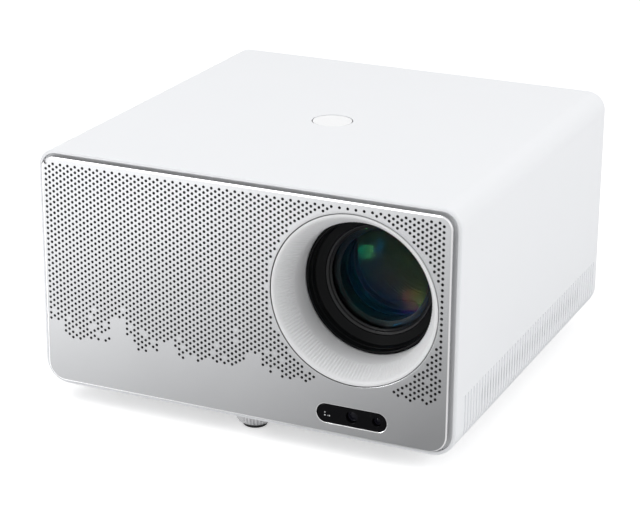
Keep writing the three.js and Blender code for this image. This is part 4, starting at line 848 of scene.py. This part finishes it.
shape = bmesh.new()
for x, z, radius in dot_places:
    turned(shape, [(0, dot_front), (radius, dot_front, dot_round), (radius, dot_back), (0, dot_back)],
        dot_steps, (x, 0, z))
finish_piece("status_dots", shape, [finish("dot_white", dot_colour, 0.4, grain=900.0, tone_spread=0.05)],
    "case", [])

eye_black = finish("eye_black", eye_colour, 0.05, grain=300.0, bump=0.0, roughness_spread=0.02,
    tone_spread=0.1, specular=0.1)
for name, eye in eyes.items():
    radius, front, back = eye["radius"], eye["front"], eye["back"]
    turned_piece(name, [
        (0, front - 0.3), (radius * 0.36, front - 0.3, radius * 0.3, 6), (radius * 0.72, front, 0.1),
        (radius * 0.78, front - 0.5, 0.1), (radius, front - 0.5, 0.2), (radius, back, 0.2), (0, back),
    ], eye_steps, (eye["x"], 0, window_z), eye_black, "case", eye["replaces"])

# Power button
# A flush round cap in the middle of the top, moulded in white ABS with a softly dished face. Its
# flange, with a thin black felt seal, hangs under the shell, and its stem presses the switch.

button_steps = 96
button_profile = [
    (0, 141.36), (9.2, 141.4, 3.0, 6), (10.3, 141.5), (10.9, 141.5, 0.3), (10.9, 138.8), (13.5, 138.8, 0.2),
    (13.5, 137.3, 0.2), (2.0, 137.3), (2.0, 136.7, 0.2), (0, 136.7),
]
button_colour = (0.95, 0.955, 0.965, 1)
seal_top = 140.9

shape = bmesh.new()
turned(shape, button_profile, button_steps, (0, button_y, 0), upright=True)
for face in shape.faces:
    if centre_of(face).z < seal_top:
        face.material_index = 1
finish_piece("power_button_cap", shape,
    [finish("button_white", button_colour, 0.4, height=0.00003, tone_spread=0.012), frame_black], "button",
    ["power_button"], sharp=28)

# Screw foot
# The front foot: a fluted wheel of pale anodised aluminium on a screw that runs up into a brass
# bush, and under it a rubber pad on a pin, which stays still while the wheel turns.

foot_y = -99.5
flute_count, steps_per_flute, flute_depth = 32, 8, 0.95
wheel_profile = [
    (0, 5.8), (2.3, 5.8), (2.3, 1.8), (6.9, 1.8, 0.2), (9.2, 3.1, 0.3), (10.0, 4.2, 0.5), (10.0, 8.4, 0.3),
    (9.5, 8.9, 0.15), (3.0, 8.9), (3.0, 24.9, 0.3), (0, 24.9),
]
fluted_radius = 9.0
pad_profile = [
    (0, 0), (6.1, 0, 0.25), (6.6, 0.5, 0.2), (6.6, 1.5, 0.2), (2.0, 1.5), (2.0, 5.5, 0.2), (0, 5.5),
]
wheel_colour = (0.68, 0.68, 0.69, 1)
rubber_colour = (0.02, 0.02, 0.021, 1)
pad_steps = 64

shape = bmesh.new()
turned(shape, wheel_profile, flute_count * steps_per_flute, (0, foot_y, 0), upright=True)
for vert in shape.verts:
    x, y = vert.co.x, vert.co.y - foot_y
    radius = math.hypot(x, y)
    if radius > fluted_radius:
        wave = 0.5 + 0.5 * math.cos(flute_count * math.atan2(y, x))
        drop = flute_depth * wave * wave
        vert.co -= Vector((x, y, 0)) * (drop / radius)
finish_piece("foot_wheel_fluted", shape,
    [finish("wheel_silver", wheel_colour, 0.42, metallic=0.35, tone_spread=0.04)], "foot_wheel",
    ["foot_wheel"], sharp=35)

rubber = finish("rubber", rubber_colour, 0.8, grain=900.0, bump=0.3, height=0.00005, specular=0.3)
turned_piece("foot_pad_rubber", pad_profile, pad_steps, (0, foot_y, 0), rubber, "foot_pad", ["foot_pad"],
    upright=True)

# Base cover
# The white ABS floor of the case, screwed in from below. It has an intake grille under the fan,
# a boss each for the foot's bush, the tripod insert and the two rubber feet, and inside it the
# posts that carry the boards and the optical engine.

base_bottom, base_top = 9.2, 11.4
base_half_width, base_front, base_back, base_round = 99.7, -106.7, 105.7, 5.7
base_edge = 0.4
fan_place, intake_reach, intake_pitch, intake_width = (63.4, 0.0), 25.7, 7.0, 3.5
bush_bore, bush_boss, bush_boss_top = 5.3, 7.0, 26.4
insert_bore, insert_boss, insert_pocket_top = 6.3, 9.0, 18.5
insert_cap_profile = [(0, 18.5), (9.0, 18.5), (9.0, 21.2, 0.4), (0, 21.2)]
foot_places = ((-78.0, 88.0), (78.0, 88.0))
foot_boss_profile = [
    (0, 4.3), (8.8, 4.3), (8.8, 2.6, 0.2), (9.8, 2.6, 0.4), (11.0, 9.2), (11.0, 11.4), (0, 11.4),
]
base_screw_places = ((-95.5, -96.0), (-95.5, 95.0), (95.5, -96.0), (95.5, 95.0))
head_pocket, screw_hole, pocket_floor = 3.1, 1.8, 10.4
post_side, post_round, post_round_steps, boss_round = 7.0, 0.8, 3, 0.3
post_groups = {
    59.56: ((-85.3, 28.0), (-85.3, 100.0), (-18.7, 28.0), (-18.7, 100.0)),
    17.1: ((-75.0, -25.0), (-75.0, 85.0), (-29.0, -25.0), (-29.0, 85.0)),
    55.2: ((32.4, -33.3), (32.4, 33.3), (94.4, -33.3), (94.4, 33.3)),
}
boss_steps, pocket_steps, plate_steps = 48, 32, 6


def boss(shape, place, hole, outer, bottom, top):
    profile = [(hole, bottom), (outer, bottom), (outer, top, boss_round), (hole, top, boss_round)]
    turned(shape, profile, boss_steps, (*place, 0), upright=True)


def box(shape, low, high):
    """A box between two corners: gives back its corners"""
    cube = bmesh.ops.create_cube(shape, size=1)["verts"]
    bmesh.ops.scale(shape, vec=[h - l for l, h in zip(low, high)], verts=cube)
    bmesh.ops.translate(shape, vec=[(l + h) / 2 for l, h in zip(low, high)], verts=cube)
    return cube


def post(shape, place, bottom, top):
    half = post_side / 2
    cube = box(shape, (place[0] - half, place[1] - half, bottom), (place[0] + half, place[1] + half, top))
    uprights = [e for e in edges_at(cube) if e.verts[0].co.xy == e.verts[1].co.xy]
    round_over(shape, uprights, post_round, post_round_steps)


shape = bmesh.new()
edges = bar_hole(shape, (0, (base_front + base_back) / 2), -base_bottom, 2 * base_half_width,
    base_back - base_front, plate_steps, base_round)
edges += round_hole(shape, 0, -base_bottom, foot_y, bush_bore, boss_steps)
edges += round_hole(shape, 0, -base_bottom, 0, insert_bore, boss_steps)
for x, y in base_screw_places:
    edges += round_hole(shape, x, -base_bottom, y, head_pocket, pocket_steps)
slot_count = int((2 * intake_reach - intake_width) / intake_pitch) + 1
for i in range(slot_count):
    x = (i - (slot_count - 1) / 2) * intake_pitch
    edges += bar_hole(shape, (fan_place[0] + x, fan_place[1]), -base_bottom, intake_width,
        2 * math.sqrt(intake_reach ** 2 - x ** 2), plate_steps)
make_plate(shape, edges, base_bottom - base_top, base_edge)
tip(shape, shape.verts, -quarter_turn)
boss(shape, (0, foot_y), bush_bore, bush_boss, base_bottom + base_edge, bush_boss_top)
boss(shape, (0, 0), insert_bore, insert_boss, base_bottom + base_edge, insert_pocket_top)
turned(shape, insert_cap_profile, boss_steps, (0, 0, 0), upright=True)
for place in foot_places:
    turned(shape, foot_boss_profile, boss_steps, (*place, 0), upright=True)
for place in base_screw_places:
    boss(shape, place, screw_hole, head_pocket, pocket_floor, base_top)
for top, places in post_groups.items():
    for place in places:
        post(shape, place, base_top - base_edge, top)
finish_piece("base_plate", shape, [shell_white], "case", ["base_cover"], weighted=True)

# Rubber feet
# Two soft black rubber discs with a rounded rim, moulded in one piece. They are pressed into the
# base cover's rear bosses.

rubber_foot_profile = [(0, 0), (7.7, 0, 0.3), (8.5, 0.8, 0.4), (8.5, 4.0, 0.2), (0, 4.0)]

for side, place in zip(("left", "right"), foot_places):
    turned_piece(f"rubber_foot_{side}", rubber_foot_profile, pad_steps, (*place, 0), rubber, "case",
        [f"rear_foot_{side}"], upright=True)

# Tripod insert
# A brass bush, turned with a quarter-inch thread of six turns inside. It is pressed into the
# pocket in the middle of the base.

insert_outer, insert_thread_top, insert_thread_root, insert_pitch, insert_turns = 6.0, 3.2, 3.6, 1.27, 6
insert_bottom, insert_top = 9.2, 18.2
brass_colour = (0.66, 0.46, 0.18, 1)

profile = [(insert_thread_root, insert_bottom), (insert_outer, insert_bottom, 0.25),
    (insert_outer, insert_top, 0.3), (insert_thread_top, insert_top, 0.2)]
for turn in range(insert_turns, 0, -1):
    z = insert_bottom + turn * insert_pitch
    profile += [(insert_thread_top, z + 0.2), (insert_thread_root, z - 0.3), (insert_thread_top, z - 0.8)]


def turned_brass(name, centre, **turning):
    """Bright brass with turning lines about an axis"""
    return add_turning(finish(name, brass_colour, 0.3, metallic=1.0, grain=1500.0, bump=0.05,
        tone_spread=0.12), centre, **turning)


brass = turned_brass("brass", (0, 0, 0), upright=True)
turned_piece("tripod_bush", profile, boss_steps, (0, 0, 0), brass, "case", ["tripod_insert"],
    upright=True)

# Rear cover
# The white ABS back, held by four screws. It has a round grille of bars behind the exhaust fan,
# windows for the sockets over the board's edge, and one for the mains inlet.

rear_outer, rear_inner, rear_inset = 115.0, 112.5, 2.8
rear_edge = 0.45
exhaust_radius, exhaust_pitch, exhaust_height, exhaust_count = 36.0, 9.0, 4.5, 8
rear_screw_places = ((-109.5, 33.2), (-109.5, 117.6), (109.5, 33.2), (109.5, 117.6))
inlet_place = (-52.0, 25.8)
socket_plans = {
    "hdmi_port_1": {"place": (-96.0, 65.3), "width": 15.0, "height": 5.6},
    "hdmi_port_2": {"place": (-77.5, 65.3), "width": 15.0, "height": 5.6},
    "usb_port_1": {"place": (-60.05, 65.4), "width": 13.1, "height": 5.8},
    "usb_port_2": {"place": (-43.55, 65.4), "width": 13.1, "height": 5.8},
}
socket_wall, window_gap, window_round, inlet_window_round = 0.7, 0.3, 0.8, 1.6
jack_place, jack_side = (-30.5, 65.8), 8.0
inlet_width, inlet_height = 19.0, 13.0
grille_steps, window_steps, screw_hole_steps = 6, 3, 24


def window_hole(shape, place, width, height, rounded=window_round):
    return bar_hole(shape, place, rear_outer, width + 2 * window_gap, height + 2 * window_gap, window_steps,
        rounded)


shape = bmesh.new()
edges = loop_of(shape, case_outline(shape, rear_inset, rear_outer))
for i in range(exhaust_count):
    z = (i - (exhaust_count - 1) / 2) * exhaust_pitch
    half = math.sqrt(exhaust_radius ** 2 - (abs(z) + exhaust_height / 2) ** 2) + exhaust_height / 2
    edges += bar_hole(shape, (lens_x, lens_z + z), rear_outer, 2 * half, exhaust_height, grille_steps)
for plan in socket_plans.values():
    edges += window_hole(shape, plan["place"], plan["width"] + 2 * socket_wall,
        plan["height"] + 2 * socket_wall)
edges += window_hole(shape, jack_place, jack_side, jack_side)
edges += window_hole(shape, inlet_place, inlet_width, inlet_height, inlet_window_round)
for x, z in rear_screw_places:
    edges += round_hole(shape, x, rear_outer, z, screw_hole, screw_hole_steps)
make_plate(shape, edges, rear_inner - rear_outer, rear_edge)
finish_piece("rear_plate", shape, [shell_white], "case", ["rear_cover"], weighted=True)

# Screws
# Eight plated pan heads with a round-cornered socket: four sink into the base, and four sit on
# the rear cover.

screw_profile = [
    (0, 0.75), (1.0, 0.75), (1.25, 0, 0.08), (2.8, 0, 0.35), (2.8, 1.1), (1.5, 1.1), (1.5, 7.0, 0.3),
    (0, 7.0),
]
base_head_face, rear_head_face = 9.2, 116.4
steel_colour = (0.45, 0.455, 0.47, 1)
screw_steps = 32

steel = finish("plated_steel", steel_colour, 0.35, metallic=1.0, tone_spread=0.12)
rear_profile = [(point[0], -point[1], *point[2:]) for point in screw_profile]
for i, (x, y) in enumerate(base_screw_places, 1):
    turned_piece(f"base_screw_head_{i}", screw_profile, screw_steps, (x, y, base_head_face), steel, "case",
        [f"base_screw_{i}"], upright=True)
for i, (x, z) in enumerate(rear_screw_places, 1):
    turned_piece(f"rear_screw_head_{i}", rear_profile, screw_steps, (x, rear_head_face, z), steel, "case",
        [f"rear_screw_{i}"])

# Sockets
# Four pressed steel shells on the main board's rear edge, each with a black tongue and a row of
# gilt contacts, and beside them the black audio jack.

socket_front, socket_back, socket_floor = 115.0, 101.0, 103.2
tongue_end, tongue_side_gap, tongue_height = 112.0, 1.6, 1.3
contact_width, contact_drop, contact_root, contact_end, contact_margin = 0.45, 0.08, 0.02, 111.4, 1
jack_bore, jack_round, jack_edge = 1.8, 1.0, 0.3
port_round, tongue_edge, port_steps, jack_steps = 0.4, 0.2, 4, 32
ports = {
    "hdmi": {"contacts": 9, "lower_round": 1.8, "tongue_rise": 0.3},
    "usb": {"contacts": 4, "lower_round": 0.4, "tongue_rise": 1.2},
}
port_colour, contact_colour = (0.62, 0.625, 0.64, 1), (0.8, 0.6, 0.25, 1)
socket_black_colour = (0.018, 0.018, 0.019, 1)


def block(shape, low, high, index=0, rounded=0.0):
    """A box with its own place in the piece's list of materials"""
    cube = box(shape, low, high)
    for face in {f for v in cube for f in v.link_faces}:
        face.material_index = index
    if rounded:
        round_over(shape, edges_at(cube), rounded)


port_steel = finish("port_steel", port_colour, 0.3, metallic=1.0, bump=0.08, tone_spread=0.1)
socket_black = finish("socket_black", socket_black_colour, 0.5, grain=1200.0, bump=0.15)
contact_gilt = finish("contact_gilt", contact_colour, 0.25, metallic=1.0, grain=2500.0, tone_spread=0.1)
for name, plan in socket_plans.items():
    shape = bmesh.new()
    (x, z), width, height = plan["place"], plan["width"], plan["height"]
    port = ports[name.split("_")[0]]
    rims = []
    for wall in (socket_wall, 0):
        rims += loop_of(shape, upright_outline(
            shape, (x, z), socket_front, width + 2 * wall, height + 2 * wall,
            (port_round + wall, port["lower_round"] + wall), port_steps))
    make_plate(shape, rims, socket_back - socket_front)
    block(shape, (x - width / 2, socket_back, z - height / 2),
        (x + width / 2, socket_floor, z + height / 2), 1)
    middle = z + port["tongue_rise"]
    under = middle - tongue_height / 2
    reach = width / 2 - tongue_side_gap
    block(shape, (x - reach, socket_floor, under),
        (x + reach, tongue_end, middle + tongue_height / 2), 1, tongue_edge)
    for i in range(port["contacts"]):
        pitch = 2 * (reach - contact_margin) / (port["contacts"] - 1)
        place = x + (i - (port["contacts"] - 1) / 2) * pitch
        block(shape, (place - contact_width / 2, socket_floor, under - contact_drop),
            (place + contact_width / 2, contact_end, under + contact_root), 2)
    finish_piece(name + "_shell", shape, [port_steel, socket_black, contact_gilt], "case", [name])

shape = bmesh.new()
x, z = jack_place
edges = bar_hole(shape, jack_place, socket_front, jack_side, jack_side, port_steps, jack_round)
edges += round_hole(shape, x, socket_front, z, jack_bore, jack_steps)
make_plate(shape, edges, socket_back - socket_front, jack_edge)
finish_piece("audio_jack_body", shape, [socket_black], "case", ["audio_jack"])

# Mains inlet
# A two-pole inlet of black nylon on the power supply's rear edge: a deep oval well with two plain
# steel pins.

inlet_front, inlet_back, inlet_floor = 115.0, 95.0, 100.0
inlet_round, inlet_edge = 1.5, 0.5
well_width, well_height = 14.0, 8.0
pin_radius, pin_spacing, pin_root, pin_end, pin_round = 1.2, 8.6, 99.0, 111.0, 0.8
well_steps, pin_steps = 10, 24

shape = bmesh.new()
x, z = inlet_place
edges = bar_hole(shape, inlet_place, inlet_front, inlet_width, inlet_height, port_steps, inlet_round)
edges += bar_hole(shape, inlet_place, inlet_front, well_width, well_height, well_steps)
make_plate(shape, edges, inlet_back - inlet_front, inlet_edge)
block(shape, (x - well_width / 2, inlet_back, z - well_height / 2),
    (x + well_width / 2, inlet_floor, z + well_height / 2))
known = set(shape.faces)
for side in (-1, 1):
    turned(shape, [(0, pin_root), (pin_radius, pin_root), (pin_radius, pin_end, pin_round), (0, pin_end)],
        pin_steps, (x + side * pin_spacing / 2, 0, z))
for face in set(shape.faces) - known:
    face.material_index = 1
finish_piece("mains_inlet_body", shape, [socket_black, port_steel], "case", ["mains_inlet"])

# Inner parts
# Everything behind the covers keeps the form of the frame and gets the finish of its own stuff:
# moulded black nylon, extruded and cast aluminium, green boards, brass, steel and clear acrylic.

inner_black_colour = (0.02, 0.02, 0.021, 1)
fan_black_colour = (0.028, 0.028, 0.03, 1)
speaker_colour = (0.018, 0.018, 0.019, 1)
cast_colour, sink_colour = (0.3, 0.305, 0.32, 1), (0.6, 0.61, 0.62, 1)
mask_colour, trace_colour = (0.012, 0.09, 0.04, 1), (0.03, 0.17, 0.08, 1)
package_colour = (0.015, 0.015, 0.016, 1)
acrylic_colour = (0.85, 0.9, 0.92, 1)
focus_screw_axis = (26.394, 0, 55.494)
# Above these heights the boards' packages are black: the sensor board shows none
board_top, supply_top, sensor_top = 61.5, 19.0, 500.0


def dress(material, *nodes):
    for node in nodes:
        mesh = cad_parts[node].data
        if not mesh.materials:
            mesh.materials.append(material)
        for i in range(len(mesh.materials)):
            mesh.materials[i] = material


def add_streaks(material, stretch, strength=0.25, height=0.00004):
    """Long fine lines, as a die or a brush leaves them: stretch is small along the lines"""
    tree = material.node_tree
    drawn_out = add_node(tree, "Mapping", {"Vector": object_place(tree), "Scale": stretch})
    noise = add_node(tree, "TexNoise", {"Vector": drawn_out, "Scale": 1500, "Detail": 3})
    return add_relief(material, noise, strength, height)


def board_material(name, top):
    """Green solder mask over a net of copper tracks, with black packages above the board's face"""
    material = finish(name, mask_colour, 0.35, grain=900.0)
    tree = material.node_tree
    place = object_place(tree)
    tracks = add_node(tree, "TexBrick", {
        "Vector": place, "Scale": 90, "Mortar Size": 0.03, "Color1": mask_colour, "Color2": mask_colour,
        "Mortar": trace_colour,
    })
    height = add_node(tree, "SeparateXYZ", {0: place}).outputs["Z"]
    above = add_node(tree, "Math", {0: height, 1: METRE * top}, operation="GREATER_THAN")
    mixed = add_node(tree, "Mix", {0: above, 6: tracks, 7: package_colour}, data_type="RGBA")
    feed(tree, tree.nodes["toned"], {0: mixed.outputs[2]})
    return material


dress(finish("inner_black", inner_black_colour, 0.6, grain=1200.0, bump=0.2, tone_spread=0.25),
    "button_holder", "button_switch", "optical_engine", "lcd_panel", "focus_nut", "exhaust_fan_frame",
    "intake_fan_frame")
dress(finish("fan_black", fan_black_colour, 0.45, grain=1400.0), "exhaust_fan_rotor", "intake_fan_rotor")
dress(finish("speaker_black", speaker_colour, 0.75, grain=700.0, bump=0.4, height=0.00008, tone_spread=0.3),
    "speaker_left", "speaker_right")
dress(brass, "foot_bush")
dress(turned_brass("screw_brass", focus_screw_axis, pitch=1.0, strength=0.6, height=0.0002), "focus_screw")
dress(steel, "focus_motor")
dress(finish("cast_metal", cast_colour, 0.5, metallic=1.0, grain=700.0, bump=0.5, height=0.0001,
    tone_spread=0.15), "lens_mount")
dress(add_streaks(finish("sink_metal", sink_colour, 0.35, metallic=1.0, grain=1500.0, bump=0.05,
    tone_spread=0.08), (1.0, 1.0, 0.03)), "heat_sink", "led_module")
clear_acrylic = add_turning(finish("clear_acrylic", acrylic_colour, 0.1, grain=900.0, bump=0.02,
    tone_spread=0.02), lens_axis, pitch=0.5, strength=0.8, height=0.0002)
clear_acrylic.node_tree.nodes["finish"].inputs["Transmission Weight"].default_value = 0.9
dress(clear_acrylic, "front_fresnel", "rear_fresnel")
dress(board_material("main_board_green", board_top), "main_board")
dress(board_material("supply_green", supply_top), "power_supply")
dress(board_material("sensor_board_green", sensor_top), "sensor_board")
